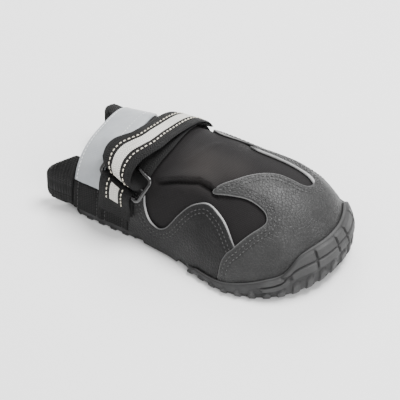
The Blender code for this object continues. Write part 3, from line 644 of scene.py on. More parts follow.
class Finish:
    """A node material that is built up with short calls."""

    def __init__(self, name, rough, **settings):
        self.made = bpy.data.materials.new(name)
        self.made.use_nodes = True
        self.tree = self.made.node_tree
        self.shader = self.tree.nodes["Principled BSDF"]
        self.shader.inputs["Roughness"].default_value = rough
        for key, value in settings.items():
            self.shader.inputs[key.replace("_", " ")].default_value = value

    def put(self, socket, value):
        if isinstance(value, bpy.types.NodeSocket):
            self.tree.links.new(value, socket)
        else:
            socket.default_value = value

    def add(self, kind, inputs=None, out=0, **settings):
        node = self.tree.nodes.new(kind)
        for key, value in settings.items():
            setattr(node, key, value)
        for key, value in (inputs or {}).items():
            self.put(node.inputs[key], value)
        return node.outputs[out]

    def where(self):
        return self.add("ShaderNodeTexCoord", out="Object")

    def place(self):
        """Place across and along the surface, in metres."""
        vector = self.add("ShaderNodeAttribute", out="Vector", attribute_name="place")
        node = self.tree.nodes.new("ShaderNodeSeparateXYZ")
        self.put(node.inputs[0], vector)
        return node.outputs[0], node.outputs[1]

    def edge(self):
        return self.add("ShaderNodeAttribute", out="Fac", attribute_name="edge")

    def noise(self, scale, detail=3.0):
        return self.add("ShaderNodeTexNoise", {
            "Vector": self.where(), "Scale": scale, "Detail": detail, "Roughness": 0.55})

    def cells(self, scale, feature="F1"):
        return self.add("ShaderNodeTexVoronoi", {"Vector": self.where(), "Scale": scale},
                        out="Distance", feature=feature)

    def math(self, operation, a, b=0.0):
        return self.add("ShaderNodeMath", {0: a, 1: b}, operation=operation)

    def times(self, a, b):
        return self.math("MULTIPLY", a, b)

    def plus(self, a, b):
        return self.math("ADD", a, b)

    def humps(self, value, pitch):
        wave = self.math("SINE", self.times(value, math.pi / pitch))
        return self.math("ABSOLUTE", wave)

    def span(self, value, low, high, start=0.0, end=1.0):
        return self.add("ShaderNodeMapRange", {
            "Value": value, "From Min": low, "From Max": high, "To Min": start, "To Max": end},
            interpolation_type="SMOOTHSTEP")

    def mix(self, share, a, b):
        a, b = (c if isinstance(c, bpy.types.NodeSocket) else (*c, 1.0) for c in (a, b))
        return self.add("ShaderNodeMix", {0: share, 6: a, 7: b}, out=2, data_type="RGBA")

    def colour(self, value):
        self.put(self.shader.inputs["Base Color"], value)

    def rough(self, value):
        self.put(self.shader.inputs["Roughness"], value)

    def bump(self, *layers):
        """Layers of (height, depth in metres), the broad ones first."""
        normal = None
        for height, depth in layers:
            inputs = {"Height": height, "Distance": depth, "Strength": 1.0}
            if normal:
                inputs["Normal"] = normal
            normal = self.add("ShaderNodeBump", inputs)
        self.put(self.shader.inputs["Normal"], normal)


def grey(value, tint=(0.0, 0.0, 0.0)):
    return tuple(value * (1.0 + t) for t in tint)


def leather(name, dark, light, rough, gloss, grain, edge_light):
    f = Finish(name, rough, Specular_IOR_Level=gloss)
    crease = f.span(f.cells(620.0, "DISTANCE_TO_EDGE"), 0.0, 0.16)
    pebble = f.cells(1050.0)
    cloud = f.noise(60.0, 4.0)
    fine = f.noise(2600.0, 2.0)
    share = f.times(f.span(cloud, 0.30, 0.72), 0.55)
    share = f.plus(share, f.times(f.span(pebble, 0.55, 0.10), 0.45))
    f.colour(f.mix(f.edge(), f.mix(share, dark, light), edge_light))
    f.rough(f.span(cloud, 0.3, 0.7, rough + 0.06, rough - 0.06))
    f.bump((cloud, 0.00025), (crease, grain), (pebble, grain * 0.8), (fine, grain * 0.3))
    return f.made


def cloth(name, dark, light, pitch, rough, depth, fuzz, painted_highlights=()):
    """Woven or knitted cloth whose threads follow the surface, with paler spots of painted
    highlight.
    """
    f = Finish(name, rough, Sheen_Weight=fuzz, Sheen_Roughness=0.6, Specular_IOR_Level=0.15)
    x, s = f.place()
    weave = f.times(f.humps(x, pitch), f.humps(s, pitch))
    cloud = f.noise(45.0, 4.0)
    fluff = f.noise(3200.0, 2.0)
    share = f.plus(f.times(weave, 0.5), f.times(cloud, 0.5))
    tone = f.mix(f.span(share, 0.2, 0.9), dark, light)
    # Each entry paints a highlight: a paler spot round a centre, in a given colour.
    for centre, reach, colour in painted_highlights:
        gap = f.add("ShaderNodeVectorMath", {0: f.where(), 1: centre}, out="Value",
                    operation="DISTANCE")
        tone = f.mix(f.span(gap, reach, 0.0, 0.0, 0.85), tone, colour)
    f.colour(tone)
    f.bump((cloud, 0.0004), (weave, depth), (fluff, depth * 0.5))
    return f.made


def rubber_finish():
    """Moulded rubber, paler where its edge value rises: painted highlight on the raised lugs and
    blocks, painted shade in the tread grooves, and paler bands along the top and bottom of its
    side.
    """
    f = Finish("moulded_rubber", 0.6, Specular_IOR_Level=0.35)
    cloud = f.noise(80.0, 5.0)
    fine = f.noise(1800.0, 3.0)
    speck = f.cells(700.0)
    tone = f.mix(f.span(cloud, 0.32, 0.70), grey(0.011), grey(0.022, (0.0, 0.0, 0.02)))
    # Painted highlight and shade: the edge value pales the raised relief and the flats between the
    # tread grooves.
    tone = f.mix(f.times(f.edge(), 0.6), tone, grey(0.062))
    f.colour(f.mix(f.times(f.span(speck, 0.20, 0.05), 0.25), tone, grey(0.015)))
    f.rough(f.span(cloud, 0.3, 0.7, 0.68, 0.52))
    f.bump((cloud, 0.0003), (fine, 0.00012))
    return f.made


def silver_finish():
    f = Finish("silver_film", 0.42, Metallic=0.15)
    ribs = f.math("SINE", f.times(f.place()[1], math.tau / 0.0009))
    cloud = f.noise(35.0, 4.0)
    fine = f.noise(1500.0, 3.0)
    f.colour(f.mix(f.span(cloud, 0.3, 0.72), (0.245, 0.26, 0.275), (0.345, 0.36, 0.375)))
    f.rough(f.span(cloud, 0.3, 0.7, 0.50, 0.36))
    f.bump((cloud, 0.0004), (ribs, 0.00002), (fine, 0.00005))
    return f.made


def webbing_finish(name, dark, light, rough=0.72):
    """Ribbed webbing: fine herringbone ridges along its length."""
    f = Finish(name, rough, Specular_IOR_Level=0.2)
    across, length = f.place()
    slant = f.plus(length, f.times(f.humps(across, 0.0030), 0.0011))
    lanes = f.span(f.humps(across, 0.0015), 0.0, 0.5, 0.4, 1.0)
    height = f.times(f.humps(slant, 0.0011), lanes)
    cloud = f.noise(70.0, 3.0)
    fluff = f.noise(3000.0, 2.0)
    f.colour(f.mix(f.span(f.plus(height, cloud), 0.4, 1.5), dark, light))
    f.bump((height, 0.00022), (fluff, 0.00008))
    return f.made


def plain_finish(name, dark, light, rough, scale=400.0, depth=0.00003, **settings):
    f = Finish(name, rough, **settings)
    cloud = f.noise(scale, 4.0)
    f.colour(f.mix(f.span(cloud, 0.3, 0.7), dark, light))
    f.bump((cloud, depth))
    return f.made


def cut_edge_finish():
    """Cut leather edge, from dark to light as its edge value says: partly the edge's own paler
    tone, partly painted highlights where the edge runs over a crest.
    """
    f = Finish("cut_edge", 0.55)
    cloud = f.noise(250.0, 4.0)
    tone = f.mix(f.edge(), grey(0.020), grey(0.36))
    f.colour(f.mix(f.span(cloud, 0.2, 0.8, 0.0, 0.35), tone, grey(0.02)))
    f.bump((cloud, 0.00006))
    return f.made


def spot(x, s):
    """A point on the boot in the frame's metres."""
    return tuple(float(v) for v in wall(x, s)[0] * MM + SHIFT)


CAP_LEATHER = leather("cap_leather_grain", grey(0.0130), grey(0.029), rough=0.47, gloss=0.30,
                      grain=0.00012, edge_light=grey(0.06))
SIDE_LEATHER = leather("side_leather_grain", grey(0.0070, (0.0, -0.02, 0.03)), grey(0.0125),
                       rough=0.46, gloss=0.20, grain=0.00010, edge_light=grey(0.03))
# Painted highlights on the softshell: paler spots on the puffed ridge above the gusset fold, where
# light falls.
SOFTSHELL_PAINTED_HIGHLIGHTS = ((spot(66, -10), 0.019, (0.019, 0.0165, 0.0155)),
        (spot(80, -5), 0.014, (0.016, 0.014, 0.0135)))
SOFTSHELL = cloth("softshell_knit", (0.0046, 0.0040, 0.0043), (0.0090, 0.0078, 0.0080),
                  pitch=0.0009, rough=0.80, depth=0.00010, fuzz=0.04, painted_highlights=SOFTSHELL_PAINTED_HIGHLIGHTS)
COLLAR_KNIT = cloth("collar_knit", grey(0.0028), grey(0.0110), pitch=0.0016, rough=0.85,
                    depth=0.00035, fuzz=0.04)
WOVEN = cloth("heel_weave", grey(0.0025), grey(0.0075), pitch=0.0011, rough=0.80,
              depth=0.00022, fuzz=0.03)
INSOLE_FOAM = cloth("insole_cloth", grey(0.010), grey(0.022), pitch=0.0012, rough=0.9,
                    depth=0.00018, fuzz=0.05)
RUBBER = rubber_finish()
SILVER = silver_finish()
WEB_BLACK = webbing_finish("webbing_black", grey(0.0025), grey(0.0090))
WEB_PALE = webbing_finish("webbing_pale", (0.36, 0.35, 0.32), (0.64, 0.63, 0.585), rough=0.55)
RING_PLASTIC = plain_finish("ring_plastic_gloss", grey(0.002), grey(0.004), rough=0.16,
                            Coat_Weight=0.6, Coat_Roughness=0.06)
THREAD_CREAM = plain_finish("thread_cream", (0.42, 0.39, 0.31), (0.74, 0.70, 0.60), rough=0.6,
                            scale=THREAD_GRAIN)
THREAD_DARK = plain_finish("thread_dark", grey(0.024), grey(0.055), 0.5, THREAD_GRAIN)
THREAD_GREY = plain_finish("thread_grey", grey(0.020), grey(0.038), 0.6, THREAD_GRAIN)
THREAD_WHITE = plain_finish("thread_white", grey(0.62), grey(0.85), 0.6, THREAD_GRAIN)
CUT_EDGE = cut_edge_finish()


def cap_outline():
    """The cap's rear edge as (place, distance from the crown), foot to foot."""
    result = []
    for x, y in smooth_line(np.array(CAP_EDGE) * (LAST_LENGTH, BALL_HALF_WIDTH)):
        side = -1 if y < wall(x, 0.0)[0][1] else 1
        result.append((x, along(x, side, y, COVER, column=1)[0]))
    return np.array(result)


CAP_LINE = cap_outline()
CAP_REGION = np.vstack([CAP_LINE, [[220.0, 90.0], [220.0, -90.0]]])


def quarter_line(side):
    x = np.linspace(QUARTER_REAR * LAST_LENGTH, QUARTER_FRONT * LAST_LENGTH, 260)
    high = INSTEP_HEIGHT * through(FAR_EDGE if side > 0 else QUARTER_EDGE, 1, x / LAST_LENGTH)
    return np.stack([x, along(x, side, high, COVER)], axis=1)


def groove(depth, at, wide=0.55):
    return bell(depth - at, wide)


def body_folds(x, s):
    """Soft unevenness of the softshell, with the deep gusset fold on the near side."""
    off = s - np.interp(x, FOLD_PATH[:, 0], FOLD_PATH[:, 1])
    ridge = np.where(off > 0.0, bell(off, 5.5) * (1.0 - bell(off, 0.8)), 0.0)
    below = np.where(off < 0.0, bell(off + 5.0, 2.6), 0.0)
    depth = 2.7 * ridge - 2.6 * bell(off + 0.9, 1.15) + 0.8 * below
    depth = depth * window(x, 44.0, 8.0, 74.0, 8.0)
    calm = window(x, 40.0, 10.0, 84.0, 8.0)
    pull = bell(x - 57.0 - 0.35 * (s + 10.0), 2.2) * window(s, -18.0, 8.0, 6.0, 6.0)
    return depth + calm * (0.30 * waves(x, s, pitch=22.0, seed=3) + 0.45 * pull)


def make_body():
    rear = np.linspace(0.0, SHAFT_END, 30)[:-1]
    middle = np.linspace(SHAFT_END, BODY_BEND, 78)[:-1]
    nose = BODY_BEND + (WALL_END - BODY_BEND) * closing(46)
    x = np.concatenate([rear, middle, nose])
    x, s = spread(x, *both_sides(x, upper_foot(x), 0.0), count=190)
    folds = body_folds(x, s)
    cover(("softshell_body", "softshell", "upper"), x, s, folds,
          -UPPER_WALL + np.minimum(0.0, folds), SOFTSHELL)


def cap_out(depth, x, s):
    """Depth of the cap's outer face: rounded at its cut edge, drawn in at its seams."""
    out = COVER + CAP_LIFT * (1.0 - ease((depth - 3.0) / 5.0)) - 0.45 * LEATHER * rounded(depth)
    for seam in CAP_SEAMS:
        out = out - 0.24 * groove(depth, seam)
    out = out + 0.16 * waves(x, s, pitch=26.0, seed=8) * ease((depth - 4.0) / 8.0)
    return out + 0.25 * bell(depth - 7.5, 3.0)


def make_cap():
    nose = CAP_BEND + (WALL_END - CAP_BEND) * closing(60)
    x = np.concatenate([np.arange(CAP_REAR * LAST_LENGTH, CAP_BEND, 0.55), nose])
    x, s = spread(x, *both_sides(x, upper_foot(x) + 0.1, COVER), count=232)
    x, s, keep = trim(x, s, [(CAP_REGION, 1, 0.0)], CAP_CELL)
    depth = distance(x, s, CAP_LINE)[0]
    cover(("toe_cap_leather", "cap_leather", "toe_cap"), x, s, cap_out(depth, x, s), GAP,
          CAP_LEATHER, 0.55 * (1.0 - ease(depth)), keep)


def on_cover(line, lift, out_of, depth):
    """Points and directions of a line just above a cover's face, at a depth from its edge."""
    x, s = line.T
    return wall(x, s, out_of(np.full(x.shape, depth), x, s) + lift)


def above_rubber(line, spare=0.6):
    """Stretches of a line that the rubber's edge doesn't hide."""
    x, s = line.T
    low = np.maximum(rim_top(x), upper_foot(x)) + spare
    return stretches(line, wall(x, s, COVER)[0][:, 2] > low)


def make_cap_trim():
    lines = [on_cover(part, 0.04, cap_out, depth) for depth in CAP_SEAMS
             for piece in offset_line(CAP_LINE, depth, CAP_REGION, 0.93)
             for part in above_rubber(piece)]
    stitches(("cap_stitches", "cap_leather"), lines, THREAD_DARK, *CAP_THREAD)
    edges = []
    for part in above_rubber(resample(CAP_LINE, 0.8)[0]):
        x, s = part.T
        points, normal = wall(x, s, GAP + 0.62 * LEATHER)
        # Painted highlights: the cut edge is made paler on the far side of the throat, at the tip
        # and along the near side; the rest is its own tone.
        throat = window(s, 11.0, 3.0, 26.0, 3.0)
        far = throat * ease((x - 78.0) / 4.0)
        tip = bell(x - 112.0, 4.0) * throat
        near = bell(x - 92.0, 14.0) * (s < 0.0)
        bright = 0.12 + 0.55 * far + 0.35 * tip + 0.14 * near
        edges.append((points, normal, 0.34 + 0.42 * far + 0.2 * tip, bright, False))
    tube(("cap_cut_edge", "cap_leather"), edges, CUT_EDGE)


def quarter_out(depth, x, s):
    out = COVER - 0.4 * LEATHER * rounded(depth)
    for seam in QUARTER_SEAMS:
        out = out - 0.18 * groove(depth, seam)
    return out + 0.14 * waves(x, s, pitch=24.0, seed=21) * ease((depth - 4.0) / 6.0)


def make_quarter(name, side, node):
    slot = "side_leather"
    line = quarter_line(side)
    region = np.vstack([line, [(line[-1, 0], side * 90.0), (line[0, 0], side * 90.0)]])
    x = np.arange(QUARTER_REAR * LAST_LENGTH, QUARTER_END, 0.5)
    x, s = spread(x, side * 9.0, along(x, side, quarter_foot(x), COVER), count=96)
    x, s, keep = trim(x, s, [(region, 1, 0.0), (CAP_REGION, -1, GAP)], QUARTER_CELL)
    depth = distance(x, s, line)[0]
    cover((name, slot, node), x, s, quarter_out(depth, x, s), GAP, SIDE_LEATHER,
          0.7 * (1.0 - ease(depth)), keep)
    lines = []
    for depth in QUARTER_SEAMS:
        for piece in offset_line(line, depth, region, 0.9):
            clear = distance(*piece.T, CAP_LINE)[0] > 0.8
            piece = piece[clear & ~inside(*piece.T, CAP_REGION)]
            for part in above_rubber(piece) if len(piece) > 3 else []:
                lines.append(on_cover(part, 0.03, quarter_out, depth))
    stitches((name + "_stitches", slot), lines, THREAD_GREY, *QUARTER_THREAD)
    x, s = resample(line[~inside(*line.T, CAP_REGION)], 0.8)[0].T
    points, normal = wall(x, s, GAP + 0.60 * LEATHER)
    # Painted highlights: the cut edge is made paler at places along each quarter's crest; the rest
    # is its own tone.
    if side > 0:
        bright = 0.75 * bell(x - 58.0, 8.5)
    else:
        bright = bell(x - 85.0, 11.0) + 0.85 * bell(x - 45.0, 5.5)
    strip = (points, normal, 0.32 + 0.26 * bright, 0.14 + 0.8 * bright, False)
    tube((name + "_cut_edge", slot), [strip], CUT_EDGE)


def make_heel_panel(name, side, node):
    front = QUARTER_REAR * LAST_LENGTH - GAP
    places = np.linspace(GAP, front, 110)
    low = BAND_END_HEIGHT - GAP
    rise = ease((places - BAND_WIDTH - GAP) / HEEL_PANEL_RISE)
    high = low + (HEEL_PANEL_TOP * INSTEP_HEIGHT - low) * rise
    foot = along(places, side, upper_foot(places), GAP + CLOTH)
    top = along(places, side, high, GAP + CLOTH)
    x, s = spread(places, foot, top, count=60)
    border = np.minimum(np.minimum(x - GAP, front - x), np.abs(s - top[:, None]))
    out = GAP + CLOTH - 0.35 * rounded(border)
    for place in HEEL_FOLDS:
        out = out + 0.55 * np.exp(-((x - place) / 1.3) ** 4)
    for place in HEEL_SEAMS:
        out = out - 0.16 * groove(x, place, wide=0.5)
    out = out + 0.12 * waves(x, s, pitch=16.0, seed=31)
    cover((name, "woven", node), x, s, out, GAP, WOVEN)
    lines = []
    for place in HEEL_SEAMS:
        k = int(np.argmin(np.abs(places - place)))
        run = np.linspace(foot[k] - side * 0.8, top[k] + side * 0.8, 40)
        lines.append(wall(place, run, GAP + CLOTH))
    stitches((name + "_stitches", "woven"), lines, THREAD_GREY, *HEEL_THREAD)


def make_band():
    """The silver band, wider over the crown, where the strap covers its front edge."""
    x = np.linspace(GAP, BAND_WIDTH, 56)
    right, left = both_sides(x, BAND_END_HEIGHT, GAP + CLOTH)
    x, s = spread(x, right, left, count=190)
    wide = BAND_SPREAD * window(s, -22.0, 12.0, 8.0, 28.0)
    x = GAP + (x - GAP) * (BAND_WIDTH + wide - GAP) / (BAND_WIDTH - GAP)
    border = np.minimum(x - GAP, BAND_WIDTH + wide - x)
    out = GAP + CLOTH - 0.35 * rounded(border)
    out = out - 0.14 * groove(x, BAND_SEAMS[0], wide=0.5)
    out = out + 0.30 * waves(x, s, pitch=26.0, seed=44) * ease(border / 3.0)
    dent = np.exp(-((x - 9.0) / 4.5) ** 2 - ((s + 17.0) / 6.0) ** 2)
    out = np.maximum(out - 0.9 * dent, GAP + 0.2)
    cover(("silver_band", "silver_film", "reflective_band"), x, s, out, GAP, SILVER)
    run = np.linspace(right[0] + 1.0, left[0] - 1.0, 200)
    lines = [wall(place, run, GAP + CLOTH + 0.02) for place in BAND_SEAMS]
    stitches(("band_stitches", "silver_film"), lines, THREAD_WHITE, *BAND_THREAD)


def make_collar(count=250, step=0.6):
    """Padded ribbed rim behind the mouth, with a lobe on each side and a dip at the back."""
    section = Section(0.0, GAP + CLOTH)
    half = float(section.half)
    tall = 0.5 * (COLLAR_TALL * float(section.crown) - COLLAR_LIFT)
    middle, pad, front = tall + COLLAR_LIFT, COLLAR_PAD, -GAP
    loops, place = [], []
    for k in range(count + 1):
        angle = COLLAR_TOP_GAP + 2.0 * (math.pi - COLLAR_TOP_GAP) * k / count
        c, s = math.cos(angle), math.sin(angle)
        if c < 0.0:
            reach = COLLAR_REACH - COLLAR_NOTCH * float(ease((1.0 - abs(s)) / 0.5))
            power = 2.0 / 7.0
        else:
            reach = COLLAR_REACH * (1.0 - 0.8 * (c / math.cos(COLLAR_TOP_GAP)) ** 2)
            power = 2.0 / 2.6
        line = smooth_line([
            (front, 0.4), (front - 0.45 * reach, 0.0), (front - 0.82 * reach, 0.2),
            (front - 0.97 * reach, 0.27 * pad), (front - reach, 0.5 * pad),
            (front - 0.95 * reach, 0.8 * pad), (front - 0.8 * reach, pad),
            (front - 0.4 * reach, pad), (front, 0.9 * pad)], 6)
        behind = front - line[:, 0]
        rib = 0.26 * np.sin(behind * math.tau / 2.4) * ease(behind / 2.0)
        rib = rib * ease((reach - behind) / 3.0)
        side = np.where(np.arange(len(line)) < len(line) // 2, -1.0, 1.0)
        inset = line[:, 1] + side * (rib - 0.5 * bell(behind - 3.0, 0.8))
        uneven = 0.12 * waves(line[:, 0], k * step, pitch=9.0, seed=55)
        inset = np.maximum(inset + uneven, 0.05)
        y = -(half - inset) * math.copysign(abs(s) ** power, s)
        z = middle + (tall - inset) * math.copysign(abs(c) ** power, c)
        loops.append(np.stack([line[:, 0], y, z], axis=1))
        place.append(np.stack([behind, np.full(len(line), k * step)], axis=1))
    item = mesh_object(("padded_collar", "mesh_cloth", "collar"), np.concatenate(loops),
                       loop_faces(len(loops), len(loops[0])), COLLAR_KNIT, np.concatenate(place))


def bar_spot(up):
    """Place and distance of one of the ring's long bars."""
    half = 0.5 * (RING_HEIGHT - RING_WIRE) * up
    return RING_PLACE + half * math.sin(RING_TURN), -RING_DOWN + half * math.cos(RING_TURN)


def fold(centre, out, radius, start, steps=20):
    """Half a turn of webbing as pairs of (distance, depth), outside and inside."""
    rows = []
    for k in range(1, steps):
        angle = math.pi * k / steps
        shift, rise = start * math.sin(angle), -math.cos(angle)
        rows.append([(centre + reach * shift, out + reach * rise)
                     for reach in (radius + WEBBING, radius)])
    return rows


def strap_path(lower=70, upper=110):
    """Rows of (place, slope, outer spot, inner spot) along the strap, and its lower rows."""
    lean = -math.tan(FOLD_TURN)
    centre = bar_spot(1)[1] - STRAP_SLACK
    out = STRAP_UNDER + WEBBING + STRAP_LOOP
    path = []
    for share in np.linspace(0.0, 1.0, lower + 1):
        down = STRAP_END + (centre - STRAP_END) * share
        place = STRAP_PLACE + (FOLD_START - STRAP_PLACE) * ease((share - 0.65) / 0.35)
        turn = lean * ease((share - 0.50) / 0.5)
        path.append((place, turn, (down, STRAP_UNDER), (down, STRAP_UNDER + WEBBING)))
    rows = fold(centre, out, STRAP_LOOP, -1)
    for k, (far, near) in enumerate(rows, 1):
        place = FOLD_START + (FOLD_END - FOLD_START) * k / (len(rows) + 1)
        path.append((place, lean, far, near))
    lay = STRAP_UNDER + WEBBING + GAP
    for share in np.linspace(0.0, 1.0, upper + 1):
        down = centre + (STRAP_TOP_END - centre) * share
        low = lay + (out + STRAP_LOOP - lay) * (1.0 - ease(share / 0.72))
        place = FOLD_END + WEBBING_WIDTH * through(STRAP_LINE, 1, down / BALL_HALF_WIDTH)
        turn = lean * (1.0 - ease(share / 0.5))
        path.append((place, turn, (down, low + WEBBING), (down, low)))
    return path, lower


def tab_path(lower=16, upper=34):
    """The same rows along the tab, which folds round the ring's lower bar."""
    lean = -math.tan(RING_TURN)
    bar_x, bar = bar_spot(-1)
    place = bar_x - TAB_BACK
    radius = 0.5 * RING_WIRE + RING_PLAY
    out = STRAP_UNDER + WEBBING + radius
    low_end = bar - TAB_LENGTH
    path = []
    for share in np.linspace(0.0, 1.0, lower + 1):
        down = low_end + (bar - low_end) * share
        turn = -TAB_SLOPE + (lean + TAB_SLOPE) * share
        path.append((place, turn, (down, STRAP_UNDER), (down, STRAP_UNDER + WEBBING)))
    for far, near in fold(bar, out, radius, 1):
        path.append((place - lean * (near[0] - bar), lean, far, near))
    lay = STRAP_UNDER + WEBBING + GAP
    for share in np.linspace(0.0, 1.0, upper + 1):
        down = bar + (low_end - TAB_STEP - bar) * share
        low = lay + (out + radius - lay) * (1.0 - ease(share / 0.7))
        turn = lean + (-TAB_SLOPE - lean) * share
        path.append((place, turn, (down, low + WEBBING), (down, low)))
    return path, lower


def ribbon_rows(path, shares):
    """Rows of points on both faces of webbing, at shares of its width from its middle."""
    faces = [[], []]
    for middle, turn, *spots in path:
        x = middle + WEBBING_WIDTH / math.hypot(1.0, turn) * shares
        for face, (down, out) in zip(faces, spots):
            face.append(wall(x, down + turn * (x - middle), out)[0])
    outer, inner = np.array(faces)
    return outer, inner, unit(outer - inner)


def make_webbing(name, path, lower, node, start=11, stop=1.0):
    """Webbing with rounded selvedges, its pale stripe and the stitches beside it."""
    shares = np.linspace(-0.5, 0.5, 25)
    outer, inner, outward = ribbon_rows(path, shares)
    face = 0.5 * (outer + inner)
    round_off = np.sqrt(np.clip(1.0 - (np.abs(shares) / 0.5) ** 14, 0.03, 1.0))
    plump = outward * 0.5 * WEBBING * round_off[:, None]
    run = run_along(face[:, len(shares) // 2])
    place = np.stack(np.broadcast_arrays(shares * WEBBING_WIDTH, run[:, None]), axis=-1)
    solid((name, "webbing", node), face + plump, face - plump, WEB_BLACK, place, sharp=60.0)
    shown = slice(lower + start, int(stop * len(path)))
    stripe = np.linspace(-STRIPE_HALF, STRIPE_HALF, 9)
    outer, _, outward = ribbon_rows(path[shown], stripe)
    place = np.stack(np.broadcast_arrays(stripe * WEBBING_WIDTH, run[shown, None]), axis=-1)
    solid((name + "_stripe", "webbing"), outer + outward * 0.16, outer - outward * 0.2,
          WEB_PALE, place)
    outer, _, outward = ribbon_rows(path[shown], np.array([-STRIPE_SEAM, STRIPE_SEAM]))
    lines = [(outer[:, k] + outward[:, k] * 0.03, outward[:, k]) for k in (0, 1)]
    stitches((name + "_stitches", "webbing"), lines, THREAD_CREAM, *WEB_THREAD)


def ring_line(corner_steps=10, side_steps=24):
    half_long = 0.5 * (RING_LENGTH - RING_WIRE) - RING_CORNER
    half_high = 0.5 * (RING_HEIGHT - RING_WIRE) - RING_CORNER
    spots = []
    for k, (x, y) in enumerate(((1, 1), (-1, 1), (-1, -1), (1, -1))):
        for j in range(corner_steps):
            angle = math.radians(90 * k + 90 * j / (corner_steps - 1))
            spots.append((x * half_long + RING_CORNER * math.cos(angle),
                          y * half_high + RING_CORNER * math.sin(angle)))
    line = []
    for (x0, y0), (x1, y1) in zip(spots, spots[1:] + spots[:1]):
        pieces = side_steps if math.hypot(x1 - x0, y1 - y0) > 2 * RING_CORNER else 1
        line += [(x0 + (x1 - x0) * j / pieces, y0 + (y1 - y0) * j / pieces)
                 for j in range(pieces)]
    return np.array(line)


def make_ring():
    out = STRAP_UNDER + WEBBING + RING_PLAY + 0.5 * RING_WIRE
    x, y = ring_line().T
    turn_cos, turn_sin = math.cos(RING_TURN), math.sin(RING_TURN)
    points, normal = wall(RING_PLACE + x * turn_cos + y * turn_sin,
                          -RING_DOWN - x * turn_sin + y * turn_cos, out)
    tube(("plastic_ring", "ring_plastic", "ring"),
         [(points, normal, 0.5 * RING_WIRE, 0.0, True)], RING_PLASTIC, sides=14)


def fore_share(x):
    return ease((x / LAST_LENGTH - 0.37) / 0.08)


def out_share(x):
    return np.minimum(1.0, 2.0 * (1.0 - waist_share(x)))


def sole_level(share):
    """Height of the sole's side at a share from its bottom to its top edge."""
    def level(x):
        rise = np.maximum(0.0, 1.0 - 4.0 * waist_share(x)) * fore_share(x)
        rise = np.where(rise > 0.03, rise, 0.0)
        top = plate_top(x) + np.maximum(0.0, rim_top(x) - plate_top(x)) * rise
        return sole_bottom(x) + share * (top - sole_bottom(x))
    return level


def rim_level(share):
    top = sole_level(1.0)
    return lambda x: plate_top(x) + share * (top(x) - plate_top(x))


def sole_outside(inset):
    def grow(x):
        fore, out = fore_share(x), out_share(x)
        wide = (HEEL_LEDGE - 0.5 * inset) * (1.0 - fore) + (RIM_INNER + RIM_WALL - inset) * fore
        return wide * out - WAIST_INSET * (1.0 - out)
    return grow


def sole_inside(x):
    open_share = out_share(x) * fore_share(x)
    return RIM_INNER * open_share - PLATE_INSET * (1.0 - open_share)


SIDE_POINTS = 270
REAR_POINTS = 88


def sole_shares():
    """Even steps round one side of the sole, as shares of its length and as lengths."""
    grow = RIM_INNER + RIM_WALL
    nose = LAST_LENGTH + grow
    places = SOLE_REAR + (nose - SOLE_REAR) * closing(1201)
    run = run_along(np.stack([places, Section(places, grow).across(0.0, -1)], axis=1))
    wanted = np.linspace(0.0, run[-1], SIDE_POINTS + 1)
    spots = np.interp(wanted, run, places)
    return (spots - SOLE_REAR) / (nose - SOLE_REAR), wanted


SHARES, RUNS = sole_shares()
LUG_STEP = RUNS[-1] / (4 * round(RUNS[-1] / LUG_PITCH) + 2)


def level_ring(level, grow, bump=None, rear=SOLE_REAR):
    """A level line round the grown last: right side, nose, left side, and across the rear."""
    nose = nose_place(level, grow(LAST_LENGTH))
    shares = SHARES[:-1]
    x = rear + (LAST_LENGTH - rear) * shares + (nose - LAST_LENGTH) * ease(2.0 * shares - 1.0)
    corner = np.maximum(0.0, SOLE_REAR + HEEL_CORNER - x) / HEEL_CORNER
    pull = HEEL_CORNER * (1.0 - np.sqrt(np.maximum(0.0, 1.0 - corner ** 2)))
    section, z = Section(x, grow(x)), level(x)
    near = np.stack([x, section.across(z, -1) + pull, z], axis=1)
    far = np.stack([x, section.across(z, 1) - pull, z], axis=1)
    tip = Section(nose, grow(LAST_LENGTH))
    line = np.vstack([near, [[nose, tip.curve + tip.lean, level(nose)]], far[::-1]])
    raised = np.zeros(len(line))
    if bump:
        ahead = np.gradient(line, axis=0)
        ahead[:, 2] = 0.0
        ahead = unit(ahead)
        raised = bump(np.concatenate([RUNS, RUNS[:-1][::-1]]), line[:, 0])
        away = np.stack([ahead[:, 1], -ahead[:, 0], np.zeros(len(line))], axis=1)
        line = line + away * raised[:, None]
    back = line[-1] + (line[0] - line[-1]) * np.linspace(0, 1, REAR_POINTS + 2)[1:-1, None]
    return np.vstack([line, back]), np.concatenate([raised, np.zeros(REAR_POINTS)])


def side_relief(height):
    """Depth of the rubber's relief at a share of its height: lugs, ribs and toe blocks."""
    def bump(run, x):
        toe = ease((x / LAST_LENGTH - 0.80) / 0.06)
        fore = fore_share(x)
        top = 0.34 + 0.30 * fore * (1.0 - toe)
        half = np.where(height < 0.26, 1.05, 1.05 * (1.0 - (height - 0.26) / (top - 0.24)))
        lug = ease((half - np.abs((run / LUG_STEP) % 4.0 - 1.5)) / 0.35 + 0.5)
        depth = LUG_DEPTH * out_share(x) * lug * (height < top + 0.02)
        slant = 3.2 * (height - 0.70) * (1.0 - ease((x / LAST_LENGTH - 0.90) / 0.05))
        block = (run / LUG_STEP + slant) % 8.0
        raised = ease((np.minimum(np.abs(block - 7.5), np.abs(block + 0.5)) - 0.25) / 0.25)
        rows = ease((abs(height - 0.70) - 0.018) / 0.02) if height > 0.43 else 0.0
        rows = rows * window(height, 0.45, 0.03, 0.93, 0.03)
        depth = depth + BUMPER_BLOCK * toe * raised * rows
        return depth - 0.25 * bell(height - 0.955, 0.012) * fore
    return bump


